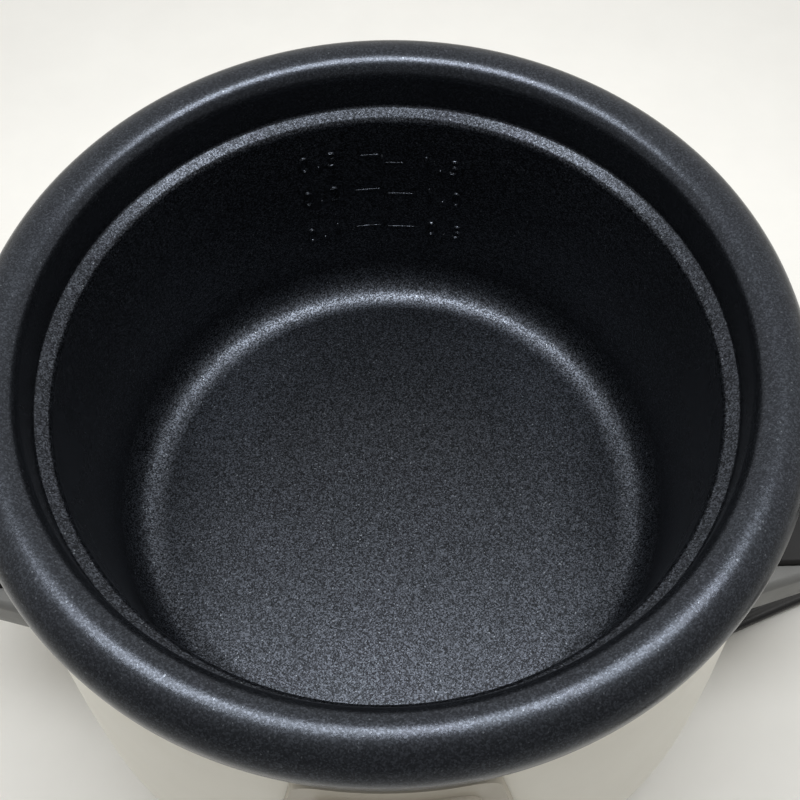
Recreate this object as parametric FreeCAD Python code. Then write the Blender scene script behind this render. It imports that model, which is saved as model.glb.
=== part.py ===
import FreeCAD, Part
import math
import os

from FreeCAD import Vector

# Small drum-type rice cooker. Sizes are in millimetres and angles in degrees.
# Z is up and the table is Z = 0. The Z axis is the axis of the pot, the front is -Y
# and the handles are on the X axis.

# Pot, pressed from aluminium sheet
RIM_RADIUS = 78.0            # outside of the rolled lip
RIM_TOP = 114.0              # crest of the lip above the table
ROLL_RADIUS = 5.75           # round of the lip
LIP_SKIRT = 3.25             # straight skirt below that round
LEDGE_DROP = 13.0            # crest of the lip down to the ledge for a lid
LEDGE_WIDTH = 2.8
LEDGE_EDGE_ROUND = 0.9
LEDGE_CORNER_ROUND = 0.6
POT_DEPTH = 72.5             # crest of the lip down to the floor of the pot
POT_DRAFT = 1.2              # narrowing of the wall from the ledge to the floor
POT_BOTTOM_ROUND = 9.0
POT_WALL = 1.6
POT_SEAT_GAP = 0.2           # between the pot and the hot plate

# Outer shell, drawn from painted steel sheet
SHELL_WALL = 0.8
LIP_GAP = 1.4                # below the skirt of the pot's lip
LIP_OVERHANG = 2.0           # of the lip past the top of the shell
SHELL_TOP_ROUND = 1.6
BELLY_SWELL = 5.2            # of the belly past the lip, before rounding
BELLY_HEIGHT = 37.5
BELLY_ROUND = 240.0
FOOT_SWELL = 8.1             # of the foot of the shell past the lip
BASE_ROUND = 10.0
SHELL_FLANGE_WIDTH = 5.0
SHELL_LIP_WIDTH = 12.1       # turned-in lip round the base

# Well that the pot hangs in, and the ring on its mouth
WELL_SHEET = 0.6
WELL_GAP = 1.5               # round the collar of the pot
WELL_CORNER_ROUND = 8.0
WELL_FLANGE_ROUND = 1.2
WELL_FLANGE_INSET = 1.6      # from the top edge of the shell
WELL_HOLE_RADIUS = 20.0
RING_GAP = 1.0               # beside the pot, inside the lip
RING_HEADROOM = 1.4          # below the lip
RING_SCREW_GAP = 0.4         # from the head to the wall of the well
RING_SCREW_COUNT = 3

# Hot plate, cast aluminium, with a tubular element in its rib
PLATE_STAND = 13.7           # top of the plate above the floor of the well
PLATE_INSET = 2.1            # from the flat of the pot's bottom
PLATE_THICKNESS = 5.5
PLATE_EDGE_ROUND = 1.5
ELEMENT_TUBE_RADIUS = 3.2
ELEMENT_INSET = 13.4         # from the edge of the plate
ELEMENT_GAP_ANGLE = 40.0     # opening of the ring at the rear
ELEMENT_BEND = 6.0           # of the ends that turn down
ELEMENT_LEG_DROP = 4.0       # of the ends below the floor of the well
ELEMENT_FLOOR_GAP = 1.8      # between the tube and the floor of the well
ELEMENT_FIT = 0.15
ELEMENT_HOLE_GAP = 1.0       # round the ends, in the floor of the well
RIB_WALL = 2.8
LEG_RADIUS = 3.4
LEG_INSET = 3.8
LEG_COUNT = 3
LEG_SCREW_SHORT = 1.5        # tip of the screw below the plate

# Temperature sensor in the middle of the plate
HOUSING_RADIUS = 15.8
HOUSING_WALL = 0.8
HOUSING_FLANGE_RADIUS = 23.0
HOUSING_FLANGE_SHEET = 1.0
HOUSING_FLOOR_DROP = 17.3    # top of the plate down to the floor of the housing
HOUSING_TOP_DROP = 2.5
HOUSING_LIP_WIDTH = 0.9
HOUSING_FIT = 0.2            # in the hole of the plate
CAP_LIP_GAP = 0.5            # beside the lip of the housing
CAP_WALL = 1.0
CAP_TOP = 1.2
CAP_SKIRT = 9.2
CAP_FLANGE_WIDTH = 1.0
CAP_FLANGE_HEIGHT = 1.4
CAP_EDGE_ROUND = 0.8
CAP_TRAVEL = 1.5             # of the cap when it is pressed
FERRITE_THICKNESS = 4.0
FERRITE_FIT = 0.3
SPRING_WIRE_RADIUS = 0.45
SPRING_TURNS = 4
SPRING_SEAT_GAP = 0.1

# Lifting magnet on its rod
MAGNET_RADIUS = 10.5
MAGNET_THICKNESS = 4.0
MAGNET_STOP_GAP = 0.3        # below the ferrite with the key down and the cap pressed
CARRIER_SHEET = 0.7
ROD_RADIUS = 2.2
ROD_HOLE_RADIUS = 3.4
ROD_FIT = 0.1                # in the hole of the magnet
ROD_TAIL = 3.4               # below the lever
ROD_COLLAR_RADIUS = 4.0
ROD_COLLAR_HEIGHT = 0.8
LEVER_CONTACT_GAP = 0.3      # between the tilted fork and the collar

# Cook switch: a steel lever with a key on its front end
LEVER_SHEET = 1.2
LEVER_WIDTH = 10.0
LEVER_RISE = 5.0             # of the rear arm above the floor of the base
LEVER_STEP = 8.0             # of the front arm above the rear arm
LEVER_BEND = 2.0
LEVER_SWING = 8.0            # key up to key down
FORK_REACH = 7.0             # past the rod
FORK_SLOT_WIDTH = 5.4
PIVOT_GAP = 2.5              # between the contact and the bracket
PIVOT_RISE = 3.1             # pin above the underside of the rear arm
EAR_SHEET = 1.0
EAR_LENGTH = 10.0
EAR_MARGIN = 3.0             # of sheet round the pin
BRACKET_SHEET = 1.2
BRACKET_SIDE_GAP = 0.4
PIN_RADIUS = 1.5
PIN_RUNNING_FIT = 0.06
PIN_PRESS_FIT = 0.03
PIN_HEAD_RADIUS = 2.4
PIN_HEAD_HEIGHT = 1.0
RISER_GAP = 6.2              # between the well and the rising part of the lever
KNEE_RUN = 19.0              # of the front arm behind the rising part
KEY_HEIGHT = 35.0            # middle of the key above the table
KEY_WIDTH = 26.0
KEY_TALL = 10.0
KEY_DEPTH = 9.0
KEY_GAP = 1.2                # in front of the panel
KEY_ROUND = 1.2
KEY_NOSE_ROUND = 2.0
KEY_THUMB_RAKE = 2.0         # slope of the face for the thumb
KEY_SOCKET = 6.0             # depth of the lever's end in the key
KEY_FIT = 0.05

# Contact that the lever closes
CONTACT_GAP = 1.7            # between the contact and the sensor's housing
CONTACT_WIDTH = 12.0
CONTACT_LENGTH = 11.0
CONTACT_HEIGHT = 6.6
PLUNGER_RADIUS = 1.5
PLUNGER_FIT = 0.1
PLUNGER_BORE_DEPTH = 5.6
PLUNGER_INSERT = 1.6
PLUNGER_CONTACT_GAP = 0.5    # above the lever

# Small electrical parts
THERMOSTAT_RADIUS = 8.0
THERMOSTAT_HEIGHT = 7.0
THERMOSTAT_TAB = 5.0
THERMOSTAT_PLACE = (-33.0, 14.0)
FUSE_RADIUS = 2.2
FUSE_LENGTH = 14.0
FUSE_LEAD_RADIUS = 0.6
FUSE_LEAD = 6.0
FUSE_PLACE = (33.0, 14.0)
STRAP_SHEET = 0.8
STRAP_WIDTH = 5.0
STRAP_FOOT = 5.0
STRAP_FIT = 0.1
TERMINAL_SIZE = (30.0, 12.0, 9.0)
TERMINAL_SET_BACK = 16.2     # behind the ends of the element
TERMINAL_WAYS = 3
TERMINAL_WELL_RADIUS = 2.6
TERMINAL_BORE_RADIUS = 1.6
TAB_SIZE = (6.3, 0.8, 7.0)
BEAD_RADIUS = 2.4
BEAD_LENGTH = 2.5

# Base
FOOT_HEIGHT = 6.0
FOOT_RADIUS = 7.5
FOOT_TAPER = 1.0
FOOT_INSET = 10.5
FOOT_STEM_RADIUS = 2.4
FOOT_STEM_FIT = 0.1
FOOT_COUNT = 4
TRAY_FLOOR = 2.4
TRAY_FIT = 0.3               # in the lip of the shell
TRAY_FLANGE_WIDTH = 2.2
TRAY_FLANGE_RISE = 0.6
TRAY_SEAT_GAP = 0.2
TRAY_HOLE_RADIUS = 38.0
POST_RADIUS = 4.5
POST_INSET = 12.0            # from the wall of the well
POST_ANGLES = (30.0, 150.0, 210.0, 330.0)
POST_SCREW_END = 1.5         # of the tip above the floor of the well
COVER_OVERLAP = 5.0
COVER_SHEET = 1.0
COVER_SCREW_ANGLES = (30.0, 150.0, 270.0)
VENT_COUNT = 8
VENT_LENGTH = 14.0
VENT_WIDTH = 3.0
VENT_RADIUS = 16.0           # inner end of the slots

# Screws
SCREW_RADIUS = 1.5
SCREW_FIT = 0.1
SCREW_HEAD_RADIUS = 2.8
SCREW_HEAD_HEIGHT = 1.8
SMALL_SCREW_RADIUS = 1.1
SMALL_HEAD_RADIUS = 1.9
SMALL_HEAD_HEIGHT = 1.3
SMALL_SCREW_LENGTH = 4.0
WALL_SCREW_GAP = 0.35        # head to a sloping wall

# Front panel
PANEL_SEAT_GAP = 0.2
PANEL_THICKNESS = 1.6
PANEL_TOP_DROP = 1.0         # below the top of the shell
PANEL_BOTTOM_RISE = 11.0     # above the foot of the shell
PANEL_TOP_HALF_WIDTH = 16.0
PANEL_BOTTOM_HALF_WIDTH = 32.0
PANEL_CORNER_ROUND = 5.0
FRAME_MARGIN = 4.0           # grey border beside the raised frame
FRAME_TOP_MARGIN = 5.0
FRAME_WIDTH = 2.4
FRAME_HEIGHT = 1.8
FACE_THICKNESS = 0.8
FACE_FIT = 0.2
FACE_SEAT_GAP = 0.1
SLOT_SIDE_GAP = 1.5
SLOT_END_GAP = 2.0
LAMP_HEIGHT = 64.0
LAMP_SPACING = 17.0
LENS_RADIUS = 3.0
LENS_FIT = 0.15
LENS_PROUD = 0.9
LENS_FLANGE_RADIUS = 4.2
LENS_FLANGE_HEIGHT = 1.2
LENS_SEAT_DROP = 0.3
WINDOW_MARGIN = 3.0
HOLDER_SHEET = 1.5
HOLDER_DEPTH = 4.5           # from the lens flange back to the holder
HOLDER_HALF_HEIGHT = 6.0
HOLDER_MARGIN = 5.0
BOSS_RADIUS = 3.0
PANEL_SCREW_DROP = 19.0      # of the upper pair below the top of the panel
PANEL_SCREW_RISE = 8.0       # of the lower pair above its bottom
PANEL_SCREW_SPACING = (16.0, 40.0)
PANEL_SCREW_SHORT = 0.4      # tip of the screw behind the front of the panel

# Handles
HANDLE_TOP = 64.0
HANDLE_DEPTH = 12.0
HANDLE_REACH = 28.0          # past the lip
HANDLE_ROOT_HALF_WIDTH = 37.5
HANDLE_TIP_HALF_WIDTH = 27.5
HANDLE_TIP_CROWN = 5.0       # of the middle of the tip past its corners
HANDLE_CORNER_ROUND = 10.0
HANDLE_CROWN_ROUND = 60.0
HANDLE_ROOT_INSET = 12.0     # of the root inside the lip, before it is cut to the body
HANDLE_WALL = 2.6
HANDLE_EDGE_ROUND = 1.8
HANDLE_SEAT_GAP = 0.15
HANDLE_ROOT_WALL = 3.2
HANDLE_SCREW_ANGLE = 12.5
HANDLE_SCREW_DROP = 7.2
HANDLE_BOSS_RADIUS = 3.8
HANDLE_BOSS_LENGTH = 8.0
HANDLE_SCREW_BITE = 6.5
COVER_HALF_WIDTH = 29.2
COVER_ROOT_GAP = 1.5         # from the wall of the body
COVER_TIP_MARGIN = 7.0
COVER_CORNER_ROUND = 9.0
COVER_POCKET = 0.8
COVER_PROUD = 1.6
COVER_FIT = 0.15
COVER_EDGE_ROUND = 0.9

# Mains lead, a flat cord of two cores
CORD_WIDTH = 6.2
CORD_THICKNESS = 3.1
CORD_LIFT = 0.5              # underside of the cord above the table
CORD_RUN = ((64.0, -31.4), (97.5, -17.7), (133.0, -5.2), (168.0, 2.8))
COIL_RADIUS = 38.0           # outermost half turn
COIL_STEP = 3.4              # less radius for each half turn inwards
COIL_HALF_TURNS = 4          # on each of two layers
COIL_LAYER_GAP = 0.8         # the climb rolls the upper layer a little
COIL_CHECK_SPACING = 2.0
# Runs of the tail: length, turn to the left of the coil's exit, share of the climb to the plug
TAIL_RUNS = ((16.0, 0.0, 0.0), (16.0, 12.0, 0.4), (16.0, 24.0, 1.0), (12.0, 34.0, 1.0))
GLAND_BLOCK_LENGTH = 12.0
GLAND_BLOCK_WIDTH = 13.0
GLAND_ROUND = 2.0
GLAND_TAPER_LENGTH = 16.0
GLAND_LIFT = 0.1
GLAND_ROOT_HEIGHT = 3.1
GLAND_MARGINS = (1.2, 0.4)   # of the taper round the cord, at its root and its end
TIE_SHEET = 0.3
TIE_WIDTH = 5.0
TIE_ROOM = 0.18              # below the coil
TIE_SIDE_ROOM = 0.6          # beside and above it
PLUG_LENGTH = 27.0
PLUG_WIDTH = 23.0
PLUG_NECK_WIDTH = 14.0
PLUG_THICKNESS = 14.0
PLUG_SHOULDER = 10.0
PLUG_ROUND = 2.5
PLUG_EDGE_ROUND = 2.0
PLUG_LIFT = 0.2
PLUG_RELIEF_LENGTH = 12.0
PLUG_MARGINS = (0.5, 2.4)
BLADE_SIZE = (16.5, 1.5, 6.3)
BLADE_SPACING = 12.7
BLADE_ROOT = 5.0             # inside the plug
BLADE_HOLE_RADIUS = 1.5
BLADE_HOLE_FROM_TIP = 4.0

UP = Vector(0, 0, 1)
ORIGIN = Vector(0, 0, 0)
FRONT_ANGLE = -90.0

# Places that follow from the sizes
COLLAR_RADIUS = RIM_RADIUS - 2 * ROLL_RADIUS
COLLAR_OUTSIDE = COLLAR_RADIUS + POT_WALL
POT_RADIUS = COLLAR_RADIUS - LEDGE_WIDTH
POT_FLOOR = RIM_TOP - POT_DEPTH
POT_FLAT_RADIUS = POT_RADIUS - POT_DRAFT - POT_BOTTOM_ROUND
PLATE_TOP = POT_FLOOR - POT_WALL - POT_SEAT_GAP
PLATE_UNDER = PLATE_TOP - PLATE_THICKNESS
PLATE_RADIUS = POT_FLAT_RADIUS - PLATE_INSET
ELEMENT_RADIUS = PLATE_RADIUS - ELEMENT_INSET
SHELL_TOP = RIM_TOP - ROLL_RADIUS - LIP_SKIRT - LIP_GAP
SHELL_TOP_RADIUS = RIM_RADIUS - LIP_OVERHANG
SHELL_FOOT_RADIUS = RIM_RADIUS + FOOT_SWELL
SHELL_LIP_RADIUS = SHELL_FOOT_RADIUS - SHELL_LIP_WIDTH
WELL_RADIUS = COLLAR_OUTSIDE + WELL_GAP
WELL_OUTSIDE = WELL_RADIUS + WELL_SHEET
WELL_TOP = SHELL_TOP + WELL_SHEET
WELL_FLOOR = PLATE_TOP - PLATE_STAND
WELL_UNDER = WELL_FLOOR - WELL_SHEET
ELEMENT_HEIGHT = WELL_FLOOR + ELEMENT_FLOOR_GAP + ELEMENT_TUBE_RADIUS
CAP_RADIUS = HOUSING_RADIUS - HOUSING_WALL - HOUSING_LIP_WIDTH - CAP_LIP_GAP
CONTACT_REACH = HOUSING_RADIUS + CONTACT_GAP + CONTACT_LENGTH / 2
PIVOT_REACH = CONTACT_REACH + CONTACT_LENGTH / 2 + PIVOT_GAP + EAR_LENGTH / 2
TRAY_UNDER = FOOT_HEIGHT
TRAY_TOP = TRAY_UNDER + TRAY_FLOOR
POST_CIRCLE = WELL_RADIUS - POST_INSET
FOOT_CIRCLE = SHELL_LIP_RADIUS - FOOT_INSET
LEVER_UNDER = TRAY_TOP + LEVER_RISE
LEVER_TOP = LEVER_UNDER + LEVER_SHEET
PIVOT_HEIGHT = LEVER_UNDER + PIVOT_RISE
RISER_REACH = WELL_OUTSIDE + RISER_GAP
FERRITE_UNDER = PLATE_TOP - CAP_TOP - FERRITE_THICKNESS
MAGNET_LIFT = PIVOT_REACH * math.radians(LEVER_SWING)
MAGNET_TOP = FERRITE_UNDER - CAP_TRAVEL - MAGNET_STOP_GAP - MAGNET_LIFT
MAGNET_UNDER = MAGNET_TOP - MAGNET_THICKNESS
HOUSING_FLOOR = PLATE_TOP - HOUSING_FLOOR_DROP
PANEL_TOP = SHELL_TOP - PANEL_TOP_DROP
PANEL_BOTTOM = FOOT_HEIGHT + PANEL_BOTTOM_RISE
HANDLE_TIP = RIM_RADIUS + HANDLE_REACH
CORD_HEIGHT = CORD_LIFT + CORD_THICKNESS / 2


# Profiles with rounded corners
def corner_arc(before, corner, after, radius):
    """Start, middle and end of the arc that rounds a corner."""
    back = (before - corner).normalize()
    ahead = (after - corner).normalize()
    half = back.getAngle(ahead) / 2
    reach = radius / math.tan(half)
    bisector = (back + ahead).normalize()
    middle = corner + bisector * (radius / math.sin(half) - radius)
    return corner + back * reach, middle, corner + ahead * reach


def add_line(edges, start, end):
    if start.distanceToPoint(end) > 1e-6:
        edges.append(Part.LineSegment(start, end).toShape())


def rounded_path(corners, radii):
    """Edges of an open path whose inner corners are rounded."""
    edges = []
    start = corners[0]
    for before, corner, after, radius in zip(corners, corners[1:], corners[2:], radii):
        if radius <= 0:
            add_line(edges, start, corner)
            start = corner
            continue
        first, middle, last = corner_arc(before, corner, after, radius)
        add_line(edges, start, first)
        edges.append(Part.Arc(first, middle, last).toShape())
        start = last
    add_line(edges, start, corners[-1])
    return edges


def rounded_face(corners, radii):
    """Face inside a closed outline whose corners are rounded; a radius of 0 stays sharp."""
    count = len(corners)
    edges = []
    arcs = []
    for index, corner in enumerate(corners):
        if radii[index] <= 0:
            arcs.append((corner, None, corner))
            continue
        arcs.append(corner_arc(corners[index - 1], corner, corners[(index + 1) % count], radii[index]))
    for index, (first, middle, last) in enumerate(arcs):
        if middle is not None:
            edges.append(Part.Arc(first, middle, last).toShape())
        add_line(edges, last, arcs[(index + 1) % count][0])
    return Part.Face(Part.Wire(edges))


def side(points):
    """Points given as radius and height, in the plane of X and Z."""
    return [Vector(radius, 0, height) for radius, height in points]


def plan(points, height):
    """Points given as X and Y, at one height."""
    return [Vector(x, y, height) for x, y in points]


def shifted(path, distance):
    """A side path moved to its right, with mitred corners."""
    normals = []
    for start, end in zip(path, path[1:]):
        along = (end - start).normalize()
        normals.append(Vector(along.z, 0, -along.x))
    moved = [path[0] + normals[0] * distance]
    for corner, before, after in zip(path[1:], normals, normals[1:]):
        moved.append(corner + (before + after) * (distance / (1 + before.dot(after))))
    moved.append(path[-1] + normals[-1] * distance)
    return moved


def shifted_radii(path, radii, distance):
    """Corner radii of a side path that was moved to its right."""
    moved = []
    for before, corner, after, radius in zip(path, path[1:], path[2:], radii):
        into = corner - before
        out = after - corner
        turns_left = into.x * out.z - into.z * out.x > 0
        moved.append(radius + distance if turns_left else radius - distance)
    return moved


def sheet_face(path, radii, thickness):
    """Face of a bent sheet: one side follows the path, the other lies to its right."""
    other = shifted(path, thickness)
    other_radii = shifted_radii(path, radii, thickness)
    edges = rounded_path(path, radii)
    edges += rounded_path(other, other_radii)
    add_line(edges, path[0], other[0])
    add_line(edges, path[-1], other[-1])
    return Part.Face(Part.Wire(Part.__sortEdges__(edges)))


# Solids
def spin(face):
    return face.revolve(ORIGIN, UP, 360)


def lathe(points, radii=None):
    """Solid of revolution from a closed outline of radius and height."""
    if radii is None:
        radii = [0] * len(points)
    return spin(rounded_face(side(points), radii))


def rod(radius, bottom, top, x=0.0, y=0.0):
    return Part.makeCylinder(radius, top - bottom, Vector(x, y, bottom))


def block(x_range, y_range, z_range):
    size = [high - low for low, high in (x_range, y_range, z_range)]
    return Part.makeBox(*size, Vector(x_range[0], y_range[0], z_range[0]))


def rounded_edges(solid, radius, wanted):
    """The solid with the edges that pass a test rounded."""
    return solid.makeFillet(radius, [edge for edge in solid.Edges if wanted(edge)])


def turned(shape, angle):
    """A copy turned about the axis of the pot."""
    copy = shape.copy()
    copy.rotate(ORIGIN, UP, angle)
    return copy


def to_front(shape):
    """A shape built along +X, turned to face the front."""
    return turned(shape, FRONT_ANGLE)


def round_the_axis(shape, angles):
    return [turned(shape, angle) for angle in angles]


def even_angles(count, first=0.0):
    return [first + 360.0 * index / count for index in range(count)]


def screw_up(radius, head_radius, head_height, seat, tip, x, y):
    """Screw that points up, with its head under the seat."""
    head = rod(head_radius, seat - head_height, seat, x, y)
    return head.fuse(rod(radius, seat, tip, x, y)).removeSplitter()


def along_x(radius, start, end, y=0.0, z=0.0):
    return Part.makeCylinder(radius, end - start, Vector(start, y, z), Vector(1, 0, 0))


# Paths of cord and wire
def tangent_arc(start, tangent, end):
    """Arc that leaves its start along a tangent."""
    chord = end - start
    across = Vector(tangent)
    line = Vector(chord).normalize()
    across = (across - line * across.dot(line)).normalize()
    rise = chord.Length / 2 * math.tan(tangent.getAngle(chord) / 2)
    return Part.Arc(start, (start + end) * 0.5 + across * rise, end).toShape()


def biarc(start, start_tangent, end, end_tangent):
    """Two arcs that share a tangent where they meet."""
    chord = end - start
    both = start_tangent + end_tangent
    square = 2 * (1 - start_tangent.dot(end_tangent))
    linear = 2 * chord.dot(both)
    reach = (math.sqrt(linear ** 2 + 4 * square * chord.dot(chord)) - linear) / (2 * square)
    first_knee = start + start_tangent * reach
    last_knee = end - end_tangent * reach
    middle = (first_knee + last_knee) * 0.5
    shared = (last_knee - first_knee).normalize()
    return [tangent_arc(start, start_tangent, middle), tangent_arc(middle, shared, end)]


def route_radii(points):
    """Radius for each inner point of a cord's route, as large as its runs allow."""
    radii = []
    for before, point, after in zip(points, points[1:], points[2:]):
        shorter = min(before.distanceToPoint(point), point.distanceToPoint(after))
        turn = (point - before).getAngle(after - point)
        radii.append(0.45 * shorter / math.tan(turn / 2))
    return radii


def swept(section, edges):
    return Part.Wire(edges).makePipeShell([section], True, False)


def cord_section(place, along, margin=0.0):
    """Outline of the flat cord at a place, square to its direction."""
    round_radius = CORD_THICKNESS / 2 + margin
    half_flat = (CORD_WIDTH - CORD_THICKNESS) / 2
    level = Vector(along.x, along.y, 0).normalize()
    across = Vector(-level.y, level.x, 0)
    upright = along.cross(across).normalize() * -1
    left = place + across * half_flat
    right = place - across * half_flat
    top = upright * round_radius
    edges = [
        Part.LineSegment(right + top, left + top).toShape(),
        Part.Arc(left + top, left + across * round_radius, left - top).toShape(),
        Part.LineSegment(left - top, right - top).toShape(),
        Part.Arc(right - top, right - across * round_radius, right + top).toShape(),
    ]
    return Part.Wire(edges)


def least_gap(edges, spacing, skip, size_across, size_up):
    """Least gap of a wound cord to itself, measured on points along it."""
    points = []
    for edge in edges:
        points += edge.discretize(Distance=spacing)[:-1]
    least = None
    for index, point in enumerate(points):
        for other in points[index + skip:]:
            level = math.hypot(point.x - other.x, point.y - other.y) - size_across
            climb = abs(point.z - other.z) - size_up
            gap = max(level, climb)
            least = gap if least is None else min(least, gap)
    return least


parts = {}

# Pot
pot_path = side([
    (0, POT_FLOOR),
    (POT_RADIUS - POT_DRAFT, POT_FLOOR),
    (POT_RADIUS, RIM_TOP - LEDGE_DROP),
    (COLLAR_RADIUS, RIM_TOP - LEDGE_DROP),
    (COLLAR_RADIUS, RIM_TOP),
    (RIM_RADIUS, RIM_TOP),
    (RIM_RADIUS, RIM_TOP - ROLL_RADIUS - LIP_SKIRT),
])
pot_radii = [POT_BOTTOM_ROUND, LEDGE_EDGE_ROUND, LEDGE_CORNER_ROUND, ROLL_RADIUS, ROLL_RADIUS]
parts["inner_pot"] = spin(sheet_face(pot_path, pot_radii, POT_WALL))

# Outer shell
shell_path = side([
    (SHELL_TOP_RADIUS - SHELL_FLANGE_WIDTH, SHELL_TOP),
    (SHELL_TOP_RADIUS, SHELL_TOP),
    (RIM_RADIUS + BELLY_SWELL, BELLY_HEIGHT),
    (SHELL_FOOT_RADIUS, FOOT_HEIGHT),
    (SHELL_LIP_RADIUS, FOOT_HEIGHT),
])
shell_radii = [SHELL_TOP_ROUND, BELLY_ROUND, BASE_ROUND]
shell = spin(sheet_face(shell_path, shell_radii, SHELL_WALL))


def body_solid(margin):
    """The whole body as a solid, grown outwards by a margin."""
    path = shifted(shell_path, -margin)
    edges = rounded_path(path, shifted_radii(shell_path, shell_radii, -margin))
    add_line(edges, path[-1], Vector(0, 0, path[-1].z))
    add_line(edges, Vector(0, 0, path[-1].z), Vector(0, 0, path[0].z))
    add_line(edges, Vector(0, 0, path[0].z), path[0])
    return spin(Part.Face(Part.Wire(Part.__sortEdges__(edges))))


body_outside = body_solid(0)


def wall_radius(height):
    """Radius of the outside of the body at a height."""
    probe = Part.makeLine(Vector(0, 0, height), Vector(2 * RIM_RADIUS, 0, height))
    return probe.common(body_outside).BoundBox.XMax


def body_skin(inner_margin, outer_margin):
    return body_solid(outer_margin).cut(body_solid(inner_margin))


# Well and ring
well_path = side([
    (WELL_HOLE_RADIUS, WELL_FLOOR),
    (WELL_RADIUS, WELL_FLOOR),
    (WELL_RADIUS, WELL_TOP),
    (SHELL_TOP_RADIUS - WELL_FLANGE_INSET, WELL_TOP),
])
well = spin(sheet_face(well_path, [WELL_CORNER_ROUND, WELL_FLANGE_ROUND], WELL_SHEET))

ring_inside = COLLAR_OUTSIDE + RING_GAP
ring_outside = RIM_RADIUS - POT_WALL - RING_GAP
ring_top = RIM_TOP - POT_WALL - RING_HEADROOM
ring_round = (ring_outside - ring_inside) / 2
ring = lathe(
    [(ring_inside, WELL_TOP), (ring_outside, WELL_TOP), (ring_outside, ring_top), (ring_inside, ring_top)],
    [0, 0, ring_round, ring_round],
)

ring_screw_circle = WELL_OUTSIDE + SMALL_HEAD_RADIUS + RING_SCREW_GAP
ring_screw_tip = WELL_TOP + SMALL_SCREW_LENGTH
shell_flange_under = SHELL_TOP - SHELL_WALL
ring_screw = screw_up(
    SMALL_SCREW_RADIUS, SMALL_HEAD_RADIUS, SMALL_HEAD_HEIGHT,
    shell_flange_under, ring_screw_tip, ring_screw_circle, 0)
ring_screw_hole = rod(
    SMALL_SCREW_RADIUS + SCREW_FIT, shell_flange_under - SHELL_WALL, ring_screw_tip + SCREW_FIT,
    ring_screw_circle)
ring_screw_angles = even_angles(RING_SCREW_COUNT, 90)
ring_screw_holes = round_the_axis(ring_screw_hole, ring_screw_angles)
parts["rim_ring"] = ring.cut(ring_screw_holes)
parts["rim_ring_screws"] = Part.makeCompound(round_the_axis(ring_screw, ring_screw_angles))

# Hot plate and element
element_leg_end = WELL_UNDER - ELEMENT_LEG_DROP


def ring_point(angle):
    """Place and direction of the element's ring at an angle."""
    turn = math.radians(angle)
    place = Vector(ELEMENT_RADIUS * math.cos(turn), ELEMENT_RADIUS * math.sin(turn), ELEMENT_HEIGHT)
    return place, Vector(-math.sin(turn), math.cos(turn), 0)


ring_start, ring_start_along = ring_point(90 + ELEMENT_GAP_ANGLE / 2)
ring_end, ring_end_along = ring_point(90 - ELEMENT_GAP_ANGLE / 2)
first_knee = ring_start - (ring_start_along + UP) * ELEMENT_BEND
last_knee = ring_end + (ring_end_along - UP) * ELEMENT_BEND
element_leg_places = [(knee.x, knee.y) for knee in (first_knee, last_knee)]


def element(tube_radius):
    """Open ring of tube whose two ends turn down."""
    first_end = Vector(first_knee.x, first_knee.y, element_leg_end)
    last_end = Vector(last_knee.x, last_knee.y, element_leg_end)
    edges = [
        Part.LineSegment(first_end, first_knee).toShape(),
        tangent_arc(first_knee, UP, ring_start),
        Part.Arc(ring_start, ring_point(-90)[0], ring_end).toShape(),
        tangent_arc(ring_end, ring_end_along, last_knee),
        Part.LineSegment(last_knee, last_end).toShape(),
    ]
    return swept(Part.Wire(Part.makeCircle(tube_radius, first_end, UP)), edges)


rib_inside = ELEMENT_RADIUS - ELEMENT_TUBE_RADIUS - RIB_WALL
rib_outside = ELEMENT_RADIUS + ELEMENT_TUBE_RADIUS + RIB_WALL
plate_hole = HOUSING_RADIUS + HOUSING_FIT
plate = lathe(
    [
        (plate_hole, PLATE_UNDER),
        (rib_inside, PLATE_UNDER),
        (rib_inside, ELEMENT_HEIGHT),
        (rib_outside, ELEMENT_HEIGHT),
        (rib_outside, PLATE_UNDER),
        (PLATE_RADIUS, PLATE_UNDER),
        (PLATE_RADIUS, PLATE_TOP),
        (plate_hole, PLATE_TOP),
    ],
    [0, 0, 0, 0, 0, 0, PLATE_EDGE_ROUND, 0],
)
leg_circle = PLATE_RADIUS - LEG_INSET
leg_angles = even_angles(LEG_COUNT, 90)
leg = rod(LEG_RADIUS, WELL_FLOOR, PLATE_UNDER + PLATE_THICKNESS / 2, leg_circle)
leg_screw_tip = PLATE_UNDER - LEG_SCREW_SHORT
leg_screw = screw_up(
    SCREW_RADIUS, SCREW_HEAD_RADIUS, SCREW_HEAD_HEIGHT, WELL_UNDER, leg_screw_tip, leg_circle, 0)
leg_screw_hole = rod(SCREW_RADIUS + SCREW_FIT, WELL_UNDER - WELL_SHEET, leg_screw_tip + SCREW_FIT, leg_circle)
leg_screw_holes = round_the_axis(leg_screw_hole, leg_angles)
plate = plate.fuse(round_the_axis(leg, leg_angles)).removeSplitter()

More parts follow.
